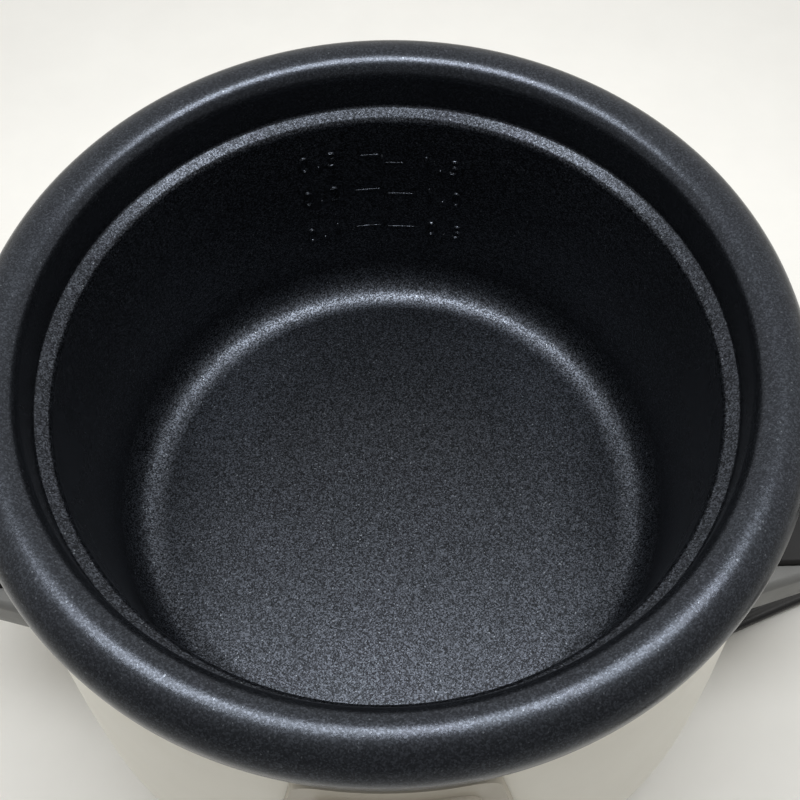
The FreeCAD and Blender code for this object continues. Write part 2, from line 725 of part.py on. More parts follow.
flange_screw_circle = (HOUSING_RADIUS + HOUSING_FLANGE_RADIUS) / 2
flange_under = PLATE_UNDER - HOUSING_FLANGE_SHEET
flange_screw_tip = PLATE_UNDER + SMALL_SCREW_LENGTH
flange_screw = screw_up(
    SMALL_SCREW_RADIUS, SMALL_HEAD_RADIUS, SMALL_HEAD_HEIGHT,
    flange_under, flange_screw_tip, flange_screw_circle, 0)
flange_screw_hole = rod(
    SMALL_SCREW_RADIUS + SCREW_FIT, flange_under - HOUSING_FLANGE_SHEET, flange_screw_tip + SCREW_FIT,
    flange_screw_circle)
flange_screw_angles = (0, 180)
flange_screw_holes = round_the_axis(flange_screw_hole, flange_screw_angles)
element_groove = element(ELEMENT_TUBE_RADIUS + ELEMENT_FIT)
parts["heating_plate"] = plate.cut([element_groove] + leg_screw_holes + flange_screw_holes)
parts["heating_element"] = element(ELEMENT_TUBE_RADIUS)
parts["plate_screws"] = Part.makeCompound(
    round_the_axis(leg_screw, leg_angles) + round_the_axis(flange_screw, flange_screw_angles))

tab_width, tab_sheet, tab_length = TAB_SIZE
bead_end = element_leg_end - BEAD_LENGTH
terminals = []
for x, y in element_leg_places:
    tab = block(
        (x - tab_sheet / 2, x + tab_sheet / 2),
        (y - tab_width / 2, y + tab_width / 2),
        (bead_end - tab_length, bead_end))
    terminals.append(rod(BEAD_RADIUS, bead_end, element_leg_end, x, y).fuse(tab).removeSplitter())
parts["heater_terminals"] = Part.makeCompound(terminals)

# Temperature sensor
housing_inside = HOUSING_RADIUS - HOUSING_WALL
housing_under = HOUSING_FLOOR - HOUSING_WALL
housing_top = PLATE_TOP - HOUSING_TOP_DROP
housing = lathe([
    (ROD_HOLE_RADIUS, housing_under),
    (HOUSING_RADIUS, housing_under),
    (HOUSING_RADIUS, flange_under),
    (HOUSING_FLANGE_RADIUS, flange_under),
    (HOUSING_FLANGE_RADIUS, PLATE_UNDER),
    (HOUSING_RADIUS, PLATE_UNDER),
    (HOUSING_RADIUS, housing_top),
    (housing_inside - HOUSING_LIP_WIDTH, housing_top),
    (housing_inside - HOUSING_LIP_WIDTH, housing_top - HOUSING_WALL),
    (housing_inside, housing_top - HOUSING_WALL),
    (housing_inside, HOUSING_FLOOR),
    (ROD_HOLE_RADIUS, HOUSING_FLOOR),
])
parts["sensor_housing"] = housing.cut(flange_screw_holes)

cap_under = PLATE_TOP - CAP_SKIRT
cap_inside = CAP_RADIUS - CAP_WALL
cap_flange = CAP_RADIUS + CAP_FLANGE_WIDTH
parts["sensor_cap"] = lathe(
    [
        (0, PLATE_TOP - CAP_TOP),
        (cap_inside, PLATE_TOP - CAP_TOP),
        (cap_inside, cap_under),
        (cap_flange, cap_under),
        (cap_flange, cap_under + CAP_FLANGE_HEIGHT),
        (CAP_RADIUS, cap_under + CAP_FLANGE_HEIGHT),
        (CAP_RADIUS, PLATE_TOP),
        (0, PLATE_TOP),
    ],
    [0, 0, 0, 0, 0, 0, CAP_EDGE_ROUND, 0],
)
parts["sensor_ferrite"] = rod(cap_inside - FERRITE_FIT, FERRITE_UNDER, PLATE_TOP - CAP_TOP)

spring_radius = (cap_inside + cap_flange) / 2
spring_bottom = HOUSING_FLOOR + SPRING_SEAT_GAP + SPRING_WIRE_RADIUS
spring_top = cap_under - SPRING_SEAT_GAP - SPRING_WIRE_RADIUS


def spring_point(quarter):
    """Place and direction of the spring's wire after so many quarter turns."""
    angle = math.radians(90 * quarter)
    rise = (spring_top - spring_bottom) / (4 * SPRING_TURNS)
    place = Vector(
        spring_radius * math.cos(angle), spring_radius * math.sin(angle), spring_bottom + rise * quarter)
    slope = rise / math.radians(90)
    along = Vector(-spring_radius * math.sin(angle), spring_radius * math.cos(angle), slope).normalize()
    return place, along


spring_edges = []
for quarter in range(4 * SPRING_TURNS):
    spring_edges += biarc(*spring_point(quarter), *spring_point(quarter + 1))
spring_section = Part.Wire(Part.makeCircle(SPRING_WIRE_RADIUS, *spring_point(0)))
parts["sensor_spring"] = swept(spring_section, spring_edges)

# Lifting magnet
carrier_under = MAGNET_UNDER - CARRIER_SHEET
collar_under = LEVER_TOP + ROD_COLLAR_RADIUS * math.sin(math.radians(LEVER_SWING)) + LEVER_CONTACT_GAP
parts["magnet_carrier"] = lathe([
    (0, LEVER_UNDER - ROD_TAIL),
    (ROD_RADIUS, LEVER_UNDER - ROD_TAIL),
    (ROD_RADIUS, collar_under),
    (ROD_COLLAR_RADIUS, collar_under),
    (ROD_COLLAR_RADIUS, collar_under + ROD_COLLAR_HEIGHT),
    (ROD_RADIUS, collar_under + ROD_COLLAR_HEIGHT),
    (ROD_RADIUS, carrier_under),
    (MAGNET_RADIUS, carrier_under),
    (MAGNET_RADIUS, MAGNET_UNDER),
    (ROD_RADIUS, MAGNET_UNDER),
    (ROD_RADIUS, MAGNET_TOP - MAGNET_STOP_GAP),
    (0, MAGNET_TOP - MAGNET_STOP_GAP),
])
parts["lift_magnet"] = rod(MAGNET_RADIUS, MAGNET_UNDER, MAGNET_TOP).cut(
    rod(ROD_RADIUS + ROD_FIT, MAGNET_UNDER, MAGNET_TOP))

# Cook switch, built along +X and turned to the front
panel_outside = wall_radius(KEY_HEIGHT) + PANEL_SEAT_GAP + PANEL_THICKNESS + FACE_THICKNESS
key_back = panel_outside + KEY_GAP
half_lever = LEVER_WIDTH / 2
lever_path = side([
    (-FORK_REACH, LEVER_TOP),
    (PIVOT_REACH + EAR_LENGTH / 2, LEVER_TOP),
    (RISER_REACH - KNEE_RUN, LEVER_TOP + LEVER_STEP),
    (RISER_REACH, LEVER_TOP + LEVER_STEP),
    (RISER_REACH, KEY_HEIGHT + LEVER_SHEET / 2),
    (key_back + KEY_SOCKET, KEY_HEIGHT + LEVER_SHEET / 2),
])
lever_bends = [LEVER_BEND] * 4
strip_face = sheet_face(lever_path, lever_bends, LEVER_SHEET)
strip_face.translate(Vector(0, -half_lever, 0))
strip = strip_face.extrude(Vector(0, LEVER_WIDTH, 0))
half_slot = FORK_SLOT_WIDTH / 2
fork_slot = block((-2 * FORK_REACH, 0), (-half_slot, half_slot), (LEVER_UNDER - 1, LEVER_TOP + 1)).fuse(
    rod(half_slot, LEVER_UNDER - 1, LEVER_TOP + 1))


def across_pivot(radius, start, end):
    """Cylinder along the axis of the pivot pin."""
    return Part.makeCylinder(
        radius, end - start, Vector(PIVOT_REACH, start, PIVOT_HEIGHT), Vector(0, 1, 0))


ear_range = (PIVOT_REACH - EAR_LENGTH / 2, PIVOT_REACH + EAR_LENGTH / 2)
ear_top = PIVOT_HEIGHT + PIN_RADIUS + EAR_MARGIN
ears = [
    block(ear_range, (-half_lever, -half_lever + EAR_SHEET), (LEVER_UNDER, ear_top)),
    block(ear_range, (half_lever - EAR_SHEET, half_lever), (LEVER_UNDER, ear_top)),
]
lever = strip.cut(fork_slot).fuse(ears).removeSplitter()
lever = lever.cut(across_pivot(PIN_RADIUS + PIN_RUNNING_FIT, -LEVER_WIDTH, LEVER_WIDTH))
parts["switch_lever"] = to_front(lever)

bracket_inside = half_lever + BRACKET_SIDE_GAP
bracket_outside = bracket_inside + BRACKET_SHEET
bracket_foot = PIVOT_HEIGHT - PIN_RADIUS - EAR_MARGIN / 2
bracket = block(ear_range, (-bracket_outside, bracket_outside), (WELL_UNDER - BRACKET_SHEET, WELL_UNDER))
bracket = bracket.fuse([
    block(ear_range, (-bracket_outside, -bracket_inside), (bracket_foot, WELL_UNDER)),
    block(ear_range, (bracket_inside, bracket_outside), (bracket_foot, WELL_UNDER)),
]).removeSplitter()
bracket = bracket.cut(across_pivot(PIN_RADIUS + PIN_PRESS_FIT, -2 * LEVER_WIDTH, 2 * LEVER_WIDTH))
parts["lever_bracket"] = to_front(bracket)
pin = across_pivot(PIN_RADIUS, -bracket_outside - PIN_HEAD_HEIGHT, bracket_outside + PIN_HEAD_HEIGHT).fuse(
    across_pivot(PIN_HEAD_RADIUS, bracket_outside, bracket_outside + PIN_HEAD_HEIGHT)).removeSplitter()
parts["pivot_pin"] = to_front(pin)

key_front = key_back + KEY_DEPTH
half_key = KEY_TALL / 2
key_face = rounded_face(
    side([
        (key_back, KEY_HEIGHT - half_key),
        (key_front - KEY_THUMB_RAKE, KEY_HEIGHT - half_key),
        (key_front, KEY_HEIGHT - KEY_THUMB_RAKE),
        (key_front - KEY_THUMB_RAKE, KEY_HEIGHT + half_key),
        (key_back, KEY_HEIGHT + half_key),
    ]),
    [0, KEY_NOSE_ROUND, KEY_NOSE_ROUND, KEY_NOSE_ROUND, 0],
)
key_face.translate(Vector(0, -KEY_WIDTH / 2, 0))
key = key_face.extrude(Vector(0, KEY_WIDTH, 0))
key = rounded_edges(key, KEY_ROUND, lambda edge: abs(abs(edge.CenterOfMass.y) - KEY_WIDTH / 2) < 0.01)
socket = block(
    (key_back - 1, key_back + KEY_SOCKET + KEY_FIT),
    (-half_lever - KEY_FIT, half_lever + KEY_FIT),
    (KEY_HEIGHT - LEVER_SHEET / 2 - KEY_FIT, KEY_HEIGHT + LEVER_SHEET / 2 + KEY_FIT))
parts["switch_key"] = to_front(key.cut(socket))

# Contact above the lever
contact_under = WELL_UNDER - CONTACT_HEIGHT
contact = block(
    (CONTACT_REACH - CONTACT_LENGTH / 2, CONTACT_REACH + CONTACT_LENGTH / 2),
    (-CONTACT_WIDTH / 2, CONTACT_WIDTH / 2),
    (contact_under, WELL_UNDER))
plunger_bore = rod(
    PLUNGER_RADIUS + PLUNGER_FIT, contact_under, contact_under + PLUNGER_BORE_DEPTH, CONTACT_REACH)
parts["contact_switch"] = to_front(contact.cut(plunger_bore))
plunger = rod(PLUNGER_RADIUS, LEVER_TOP + PLUNGER_CONTACT_GAP, contact_under + PLUNGER_INSERT, CONTACT_REACH)
parts["switch_plunger"] = to_front(plunger)

# Small electrical parts
thermostat_x, thermostat_y = THERMOSTAT_PLACE
thermostat = rod(THERMOSTAT_RADIUS, WELL_UNDER - THERMOSTAT_HEIGHT, WELL_UNDER, thermostat_x, thermostat_y)
thermostat_tabs = []
for offset in (-THERMOSTAT_RADIUS / 2, THERMOSTAT_RADIUS / 2):
    thermostat_tabs.append(block(
        (thermostat_x + offset - tab_sheet / 2, thermostat_x + offset + tab_sheet / 2),
        (thermostat_y - tab_width / 2, thermostat_y + tab_width / 2),
        (WELL_UNDER - THERMOSTAT_HEIGHT - THERMOSTAT_TAB, WELL_UNDER - THERMOSTAT_HEIGHT)))
parts["keep_warm_thermostat"] = thermostat.fuse(thermostat_tabs).removeSplitter()

fuse_x, fuse_y = FUSE_PLACE
fuse_height = WELL_UNDER - FUSE_RADIUS


def along_fuse(radius, length):
    return Part.makeCylinder(
        radius, length, Vector(fuse_x, fuse_y - length / 2, fuse_height), Vector(0, 1, 0))


parts["thermal_fuse"] = along_fuse(FUSE_RADIUS, FUSE_LENGTH).fuse(
    along_fuse(FUSE_LEAD_RADIUS, FUSE_LENGTH + 2 * FUSE_LEAD)).removeSplitter()
strap_radius = FUSE_RADIUS + STRAP_FIT
strap_path = side([
    (fuse_x - strap_radius - STRAP_FOOT, WELL_UNDER),
    (fuse_x - strap_radius, WELL_UNDER),
    (fuse_x - strap_radius, fuse_height - strap_radius),
    (fuse_x + strap_radius, fuse_height - strap_radius),
    (fuse_x + strap_radius, WELL_UNDER),
    (fuse_x + strap_radius + STRAP_FOOT, WELL_UNDER),
])
strap_face = sheet_face(strap_path, [0, strap_radius, strap_radius, 0], STRAP_SHEET)
strap_face.translate(Vector(0, fuse_y - STRAP_WIDTH / 2, 0))
parts["fuse_strap"] = strap_face.extrude(Vector(0, STRAP_WIDTH, 0))

terminal_x, terminal_y, terminal_z = TERMINAL_SIZE
terminal_middle = first_knee.y + TERMINAL_SET_BACK
terminal_block = block(
    (-terminal_x / 2, terminal_x / 2),
    (terminal_middle - terminal_y / 2, terminal_middle + terminal_y / 2),
    (TRAY_TOP, TRAY_TOP + terminal_z))
way = terminal_x / TERMINAL_WAYS
for index in range(TERMINAL_WAYS):
    x = -terminal_x / 2 + way * (index + 0.5)
    bore_start = Vector(x, terminal_middle - terminal_y / 2, TRAY_TOP + terminal_z / 3)
    terminal_block = terminal_block.cut([
        rod(TERMINAL_WELL_RADIUS, TRAY_TOP + terminal_z / 2, TRAY_TOP + terminal_z, x, terminal_middle),
        Part.makeCylinder(TERMINAL_BORE_RADIUS, terminal_y, bore_start, Vector(0, 1, 0)),
    ])
parts["terminal_block"] = terminal_block

# Base tray, cover, feet and screws
tray = lathe([
    (TRAY_HOLE_RADIUS, TRAY_UNDER),
    (SHELL_LIP_RADIUS - TRAY_FIT, TRAY_UNDER),
    (SHELL_LIP_RADIUS - TRAY_FIT, TRAY_UNDER + SHELL_WALL + TRAY_SEAT_GAP),
    (SHELL_LIP_RADIUS + TRAY_FLANGE_WIDTH, TRAY_UNDER + SHELL_WALL + TRAY_SEAT_GAP),
    (SHELL_LIP_RADIUS + TRAY_FLANGE_WIDTH, TRAY_TOP + TRAY_FLANGE_RISE),
    (SHELL_LIP_RADIUS - TRAY_FIT, TRAY_TOP + TRAY_FLANGE_RISE),
    (SHELL_LIP_RADIUS - TRAY_FIT, TRAY_TOP),
    (TRAY_HOLE_RADIUS, TRAY_TOP),
])
post = rod(POST_RADIUS, TRAY_UNDER + TRAY_FLOOR / 2, WELL_UNDER, POST_CIRCLE)
post_screw_seat = TRAY_UNDER + SCREW_HEAD_HEIGHT
post_screw_tip = WELL_FLOOR + POST_SCREW_END
post_screw = screw_up(
    SCREW_RADIUS, SCREW_HEAD_RADIUS, SCREW_HEAD_HEIGHT, post_screw_seat, post_screw_tip, POST_CIRCLE, 0)
post_bore = rod(SCREW_RADIUS + SCREW_FIT, TRAY_UNDER, post_screw_tip, POST_CIRCLE).fuse(
    rod(SCREW_HEAD_RADIUS + SCREW_FIT, TRAY_UNDER, post_screw_seat, POST_CIRCLE))
post_bores = round_the_axis(post_bore, POST_ANGLES)
cover_radius = TRAY_HOLE_RADIUS + COVER_OVERLAP
cover_under = TRAY_UNDER - COVER_SHEET
cover_screw_circle = TRAY_HOLE_RADIUS + COVER_OVERLAP / 2
cover_screw = screw_up(
    SMALL_SCREW_RADIUS, SMALL_HEAD_RADIUS, SMALL_HEAD_HEIGHT, cover_under, TRAY_TOP, cover_screw_circle, 0)
cover_screw_hole = rod(SMALL_SCREW_RADIUS + SCREW_FIT, cover_under - 1, TRAY_TOP + 1, cover_screw_circle)
cover_screw_holes = round_the_axis(cover_screw_hole, COVER_SCREW_ANGLES)
foot_angles = even_angles(FOOT_COUNT)
foot_stem_hole = rod(FOOT_STEM_RADIUS + FOOT_STEM_FIT, TRAY_UNDER - 1, TRAY_TOP + 1, FOOT_CIRCLE)
tray = tray.fuse(round_the_axis(post, POST_ANGLES)).removeSplitter()
parts["base_tray"] = tray.cut(post_bores + cover_screw_holes + round_the_axis(foot_stem_hole, foot_angles))

vent_half = VENT_WIDTH / 2
vent_end = VENT_RADIUS + VENT_LENGTH
vent = block((VENT_RADIUS, vent_end), (-vent_half, vent_half), (cover_under - 1, TRAY_UNDER + 1)).fuse([
    rod(vent_half, cover_under - 1, TRAY_UNDER + 1, VENT_RADIUS),
    rod(vent_half, cover_under - 1, TRAY_UNDER + 1, vent_end),
])
cover = rod(cover_radius, cover_under, TRAY_UNDER)
parts["bottom_cover"] = cover.cut(round_the_axis(vent, even_angles(VENT_COUNT)) + cover_screw_holes)
parts["base_screws"] = Part.makeCompound(
    round_the_axis(post_screw, POST_ANGLES) + round_the_axis(cover_screw, COVER_SCREW_ANGLES))

foot = Part.makeCone(FOOT_RADIUS - FOOT_TAPER, FOOT_RADIUS, FOOT_HEIGHT, Vector(FOOT_CIRCLE, 0, 0)).fuse(
    rod(FOOT_STEM_RADIUS, FOOT_HEIGHT, TRAY_TOP, FOOT_CIRCLE)).removeSplitter()
parts["feet"] = Part.makeCompound(round_the_axis(foot, foot_angles))

# Front panel
panel_slope = (PANEL_BOTTOM_HALF_WIDTH - PANEL_TOP_HALF_WIDTH) / (PANEL_TOP - PANEL_BOTTOM)


def panel_prism(side_margin, top, bottom, corner_round):
    """Wedge-sided outline like the panel's, drawn through the front of the body."""
    corners = []
    for height, sides in ((bottom, (-1, 1)), (top, (1, -1))):
        half_width = PANEL_TOP_HALF_WIDTH + (PANEL_TOP - height) * panel_slope - side_margin
        corners += [Vector(sign * half_width, 0, height) for sign in sides]
    return rounded_face(corners, [corner_round] * 4).extrude(Vector(0, -2 * RIM_RADIUS, 0))


def front_block(half_width, bottom, top):
    """Square hole through the front of the body."""
    return block((-half_width, half_width), (-2 * RIM_RADIUS, -WELL_OUTSIDE), (bottom, top))


def front_bore(radius, start, end, x, height):
    """Cylinder along Y, from one distance in front of the axis to another."""
    return Part.makeCylinder(radius, end - start, Vector(x, -start, height), Vector(0, -1, 0))


panel_back = PANEL_SEAT_GAP
panel_face_margin = PANEL_SEAT_GAP + PANEL_THICKNESS
frame_top = PANEL_TOP - FRAME_TOP_MARGIN
frame_bottom = PANEL_BOTTOM + FRAME_MARGIN
frame_prism = panel_prism(FRAME_MARGIN, frame_top, frame_bottom, PANEL_CORNER_ROUND)
inset_margin = FRAME_MARGIN + FRAME_WIDTH
inset_round = PANEL_CORNER_ROUND - FRAME_WIDTH
inset_top = frame_top - FRAME_WIDTH
inset_bottom = frame_bottom + FRAME_WIDTH
inset_prism = panel_prism(inset_margin, inset_top, inset_bottom, inset_round)
face_prism = panel_prism(
    inset_margin + FACE_FIT, inset_top - FACE_FIT, inset_bottom + FACE_FIT, inset_round)
panel = body_skin(panel_back, panel_face_margin).common(
    panel_prism(0, PANEL_TOP, PANEL_BOTTOM, PANEL_CORNER_ROUND))
frame = body_skin(panel_back, panel_face_margin + FRAME_HEIGHT).common(frame_prism).cut(inset_prism)
face = body_skin(panel_face_margin + FACE_SEAT_GAP, panel_face_margin + FACE_THICKNESS).common(face_prism)

key_drop = (key_back - PIVOT_REACH) * math.sin(math.radians(LEVER_SWING))
slot = front_block(
    half_lever + SLOT_SIDE_GAP, KEY_HEIGHT - key_drop - SLOT_END_GAP, KEY_HEIGHT + SLOT_END_GAP)
lever_window = front_block(
    half_lever + SLOT_SIDE_GAP + WINDOW_MARGIN,
    KEY_HEIGHT - key_drop - SLOT_END_GAP - WINDOW_MARGIN, KEY_HEIGHT + SLOT_END_GAP + WINDOW_MARGIN)
half_lamps = LAMP_SPACING / 2
lamp_window = front_block(
    half_lamps + LENS_FLANGE_RADIUS + WINDOW_MARGIN,
    LAMP_HEIGHT - LENS_FLANGE_RADIUS - WINDOW_MARGIN, LAMP_HEIGHT + LENS_FLANGE_RADIUS + WINDOW_MARGIN)

lamp_wall = wall_radius(LAMP_HEIGHT)
lamp_depth = lamp_wall - math.sqrt(lamp_wall ** 2 - (half_lamps + LENS_FLANGE_RADIUS) ** 2)
lens_seat = lamp_wall - lamp_depth - LENS_SEAT_DROP
lens_front = lamp_wall + panel_face_margin + FACE_THICKNESS + LENS_PROUD - lamp_depth / 2
lens_bore = LENS_RADIUS + LENS_FIT
lens_holes = []
lenses = []
for x in (-half_lamps, half_lamps):
    lens = front_bore(LENS_RADIUS, lens_seat, lens_front, x, LAMP_HEIGHT)
    lens = rounded_edges(lens, LENS_PROUD, lambda edge: abs(edge.CenterOfMass.y + lens_front) < 0.01)
    flange = front_bore(LENS_FLANGE_RADIUS, lens_seat - LENS_FLANGE_HEIGHT, lens_seat, x, LAMP_HEIGHT)
    lenses.append(lens.fuse(flange).removeSplitter())
    lens_holes.append(front_bore(lens_bore, WELL_OUTSIDE, lens_front + 1, x, LAMP_HEIGHT))
parts["cook_lamp_lens"] = lenses[0]
parts["warm_lamp_lens"] = lenses[1]

holder_front = lens_seat - LENS_FLANGE_HEIGHT
holder_back = holder_front - HOLDER_DEPTH
holder = block(
    (-half_lamps - HOLDER_MARGIN, half_lamps + HOLDER_MARGIN),
    (-holder_back - HOLDER_SHEET, -holder_back),
    (LAMP_HEIGHT - HOLDER_HALF_HEIGHT, LAMP_HEIGHT + HOLDER_HALF_HEIGHT))
for x in (-half_lamps, half_lamps):
    tube = front_bore(LENS_FLANGE_RADIUS, holder_back, holder_front, x, LAMP_HEIGHT)
    lamp_room = front_bore(LENS_RADIUS, holder_back + HOLDER_SHEET, holder_front, x, LAMP_HEIGHT)
    holder = holder.fuse(tube).cut(lamp_room)
holder_screw_hole = front_bore(SMALL_SCREW_RADIUS + SCREW_FIT, WELL_OUTSIDE, lamp_wall, 0, LAMP_HEIGHT)
parts["lamp_holder"] = holder.cut(holder_screw_hole).removeSplitter()

boss_face = holder_back + HOLDER_SHEET
boss = front_bore(BOSS_RADIUS, boss_face, lamp_wall + panel_back + PANEL_THICKNESS / 2, 0, LAMP_HEIGHT)
holder_screw_tip = boss_face + SMALL_SCREW_LENGTH
holder_screw_head = front_bore(
    SMALL_HEAD_RADIUS, holder_back - SMALL_HEAD_HEIGHT, holder_back, 0, LAMP_HEIGHT)
holder_screw = holder_screw_head.fuse(
    front_bore(SMALL_SCREW_RADIUS, holder_back, holder_screw_tip, 0, LAMP_HEIGHT)).removeSplitter()
boss_bore = front_bore(
    SMALL_SCREW_RADIUS + SCREW_FIT, boss_face, holder_screw_tip + SCREW_FIT, 0, LAMP_HEIGHT)


def wall_screw(radius, head_radius, head_height, height, bite):
    """Screw along +X through the wall of the shell, its head inside and its tip in what the wall carries."""
    seat = wall_radius(height) - SHELL_WALL - WALL_SCREW_GAP
    tip = wall_radius(height) + bite
    screw = along_x(head_radius, seat - head_height, seat, 0, height).fuse(
        along_x(radius, seat, tip, 0, height)).removeSplitter()
    hole = along_x(radius + SCREW_FIT, seat - head_height, tip + SCREW_FIT, 0, height)
    return screw, hole


panel_screws = [holder_screw]
panel_screw_holes = []
screw_rows = (PANEL_TOP - PANEL_SCREW_DROP, PANEL_BOTTOM + PANEL_SCREW_RISE)
for height, spacing in zip(screw_rows, PANEL_SCREW_SPACING):
    screw, hole = wall_screw(
        SMALL_SCREW_RADIUS, SMALL_HEAD_RADIUS, SMALL_HEAD_HEIGHT,
        height, panel_face_margin - PANEL_SCREW_SHORT)
    spread = math.degrees(math.asin(spacing / 2 / wall_radius(height)))
    angles = (FRONT_ANGLE - spread, FRONT_ANGLE + spread)
    panel_screws += round_the_axis(screw, angles)
    panel_screw_holes += round_the_axis(hole, angles)
parts["panel_screws"] = Part.makeCompound(panel_screws)
panel = panel.fuse([frame, boss]).removeSplitter()
parts["front_panel"] = panel.cut([slot, boss_bore] + lens_holes + panel_screw_holes)
parts["panel_face"] = face.cut([slot] + lens_holes)

# Handles
handle_root = RIM_RADIUS - HANDLE_ROOT_INSET
handle_under = HANDLE_TOP - HANDLE_DEPTH
handle_corner = HANDLE_TIP - HANDLE_TIP_CROWN
handle_face = rounded_face(
    plan([
        (handle_root, -HANDLE_ROOT_HALF_WIDTH),
        (handle_corner, -HANDLE_TIP_HALF_WIDTH),
        (HANDLE_TIP, 0),
        (handle_corner, HANDLE_TIP_HALF_WIDTH),
        (handle_root, HANDLE_ROOT_HALF_WIDTH),
    ], handle_under),
    [0, HANDLE_CORNER_ROUND, HANDLE_CROWN_ROUND, HANDLE_CORNER_ROUND, 0],
)
handle = handle_face.extrude(UP * HANDLE_DEPTH)
handle = rounded_edges(
    handle, HANDLE_EDGE_ROUND,
    lambda edge: edge.BoundBox.ZMin > HANDLE_TOP - 0.01 and edge.BoundBox.XMax > handle_root + 0.01)
hollow = handle_face.makeOffset2D(-HANDLE_WALL).extrude(UP * (HANDLE_DEPTH - HANDLE_WALL))
hollow = hollow.cut(body_solid(HANDLE_SEAT_GAP + HANDLE_ROOT_WALL))
handle_screw_height = HANDLE_TOP - HANDLE_SCREW_DROP
handle_wall = wall_radius(handle_screw_height)
handle_screw, handle_screw_hole = wall_screw(
    SCREW_RADIUS, SCREW_HEAD_RADIUS, SCREW_HEAD_HEIGHT, handle_screw_height, HANDLE_SCREW_BITE)
handle_boss = along_x(
    HANDLE_BOSS_RADIUS, handle_wall + HANDLE_ROOT_WALL / 2, handle_wall + HANDLE_BOSS_LENGTH,
    0, handle_screw_height)
handle_angles = (-HANDLE_SCREW_ANGLE, HANDLE_SCREW_ANGLE)
handle_screw_holes = round_the_axis(handle_screw_hole, handle_angles)


def cover_face(margin, height):
    """Outline of the grip cover, drawn in by a margin."""
    tip = HANDLE_TIP - COVER_TIP_MARGIN - margin
    half_width = COVER_HALF_WIDTH - margin
    corners = [(handle_root, -half_width), (tip, -half_width), (tip, half_width), (handle_root, half_width)]
    return rounded_face(plan(corners, height), [0, COVER_CORNER_ROUND, COVER_CORNER_ROUND, 0])


pocket = cover_face(0, HANDLE_TOP - COVER_POCKET).extrude(UP * 2 * COVER_POCKET)
pocket = pocket.cut(body_solid(COVER_ROOT_GAP))
handle = handle.cut([body_solid(HANDLE_SEAT_GAP), hollow]).fuse(round_the_axis(handle_boss, handle_angles))
handle = handle.cut([pocket] + handle_screw_holes).removeSplitter()
grip_cover = cover_face(COVER_FIT, HANDLE_TOP - COVER_POCKET).extrude(UP * (COVER_POCKET + COVER_PROUD))
grip_cover = grip_cover.cut(body_solid(COVER_ROOT_GAP + COVER_FIT))
grip_cover = rounded_edges(
    grip_cover, COVER_EDGE_ROUND, lambda edge: edge.BoundBox.ZMin > HANDLE_TOP + COVER_PROUD - 0.01)
handle_screws = round_the_axis(handle_screw, handle_angles)
parts["handle_right"] = handle
parts["grip_cover_right"] = grip_cover
parts["handle_left"] = handle.mirror(ORIGIN, Vector(1, 0, 0))
parts["grip_cover_left"] = grip_cover.mirror(ORIGIN, Vector(1, 0, 0))
parts["handle_screws"] = Part.makeCompound(handle_screws + [turned(screw, 180) for screw in handle_screws])

# Shell and well with all their holes
wall_holes = [lever_window, lamp_window] + panel_screw_holes + handle_screw_holes
wall_holes += [turned(hole, 180) for hole in handle_screw_holes]
parts["outer_shell"] = shell.cut(wall_holes + ring_screw_holes)
element_hole = ELEMENT_TUBE_RADIUS + ELEMENT_HOLE_GAP
element_holes = [rod(element_hole, WELL_UNDER - 1, WELL_FLOOR + 1, x, y) for x, y in element_leg_places]
parts["inner_well"] = well.cut(ring_screw_holes + leg_screw_holes + post_bores + element_holes)

# Mains lead: a run on the table, a coil of two layers and a tail to the plug
run_points = plan(CORD_RUN, CORD_HEIGHT)
run_radii = route_radii(run_points)
run_edges = rounded_path(run_points, run_radii)
run_start = (run_points[1] - run_points[0]).normalize()
parts["cord_run"] = swept(cord_section(run_points[0], run_start), run_edges)

heading = (run_points[-1] - run_points[-2]).normalize()
coil_entry_heading = Vector(heading)
place = Vector(run_points[-1])
coil_edges = []
add_line(coil_edges, place, place + heading * CORD_WIDTH)
place = place + heading * CORD_WIDTH
coil_entry = Vector(place)
inward_radii = [COIL_RADIUS - COIL_STEP * index for index in range(COIL_HALF_TURNS)]
climb_radius = COIL_RADIUS - COIL_STEP * COIL_HALF_TURNS
layer = CORD_THICKNESS + COIL_LAYER_GAP


def half_turn(start, along, radius):
    """End of a half turn to the right."""
    return start + Vector(along.y, -along.x, 0) * (2 * radius)


for radius in inward_radii:
    end = half_turn(place, heading, radius)
    coil_edges.append(tangent_arc(place, heading, end))
    place, heading = end, heading * -1
end = half_turn(place, heading, climb_radius) + UP * layer
coil_edges += biarc(place, heading, end, heading * -1)
place, heading = end, heading * -1
for radius in reversed(inward_radii):
    end = half_turn(place, heading, radius)
    coil_edges.append(tangent_arc(place, heading, end))
    place, heading = end, heading * -1
coil_turn_edges = coil_edges[1:]
add_line(coil_edges, place, place + heading * CORD_WIDTH)
place = place + heading * CORD_WIDTH
parts["cord_coil"] = swept(cord_section(run_points[-1], coil_entry_heading), coil_edges)

plug_height = PLUG_LIFT + PLUG_THICKNESS / 2
tail_climb = plug_height - place.z
tail_points = [place]
for length, turn, share in TAIL_RUNS:
    level = Vector(heading)
    level = FreeCAD.Rotation(UP, turn).multVec(level)
    point = tail_points[-1] + level * length
    tail_points.append(Vector(point.x, point.y, place.z + tail_climb * share))
tail_radii = route_radii(tail_points)
tail_edges = rounded_path(tail_points, tail_radii)
coil_end = min(parts["cord_coil"].Faces, key=lambda end: end.CenterOfMass.distanceToPoint(place))
parts["cord_tail"] = swept(coil_end.OuterWire, tail_edges)

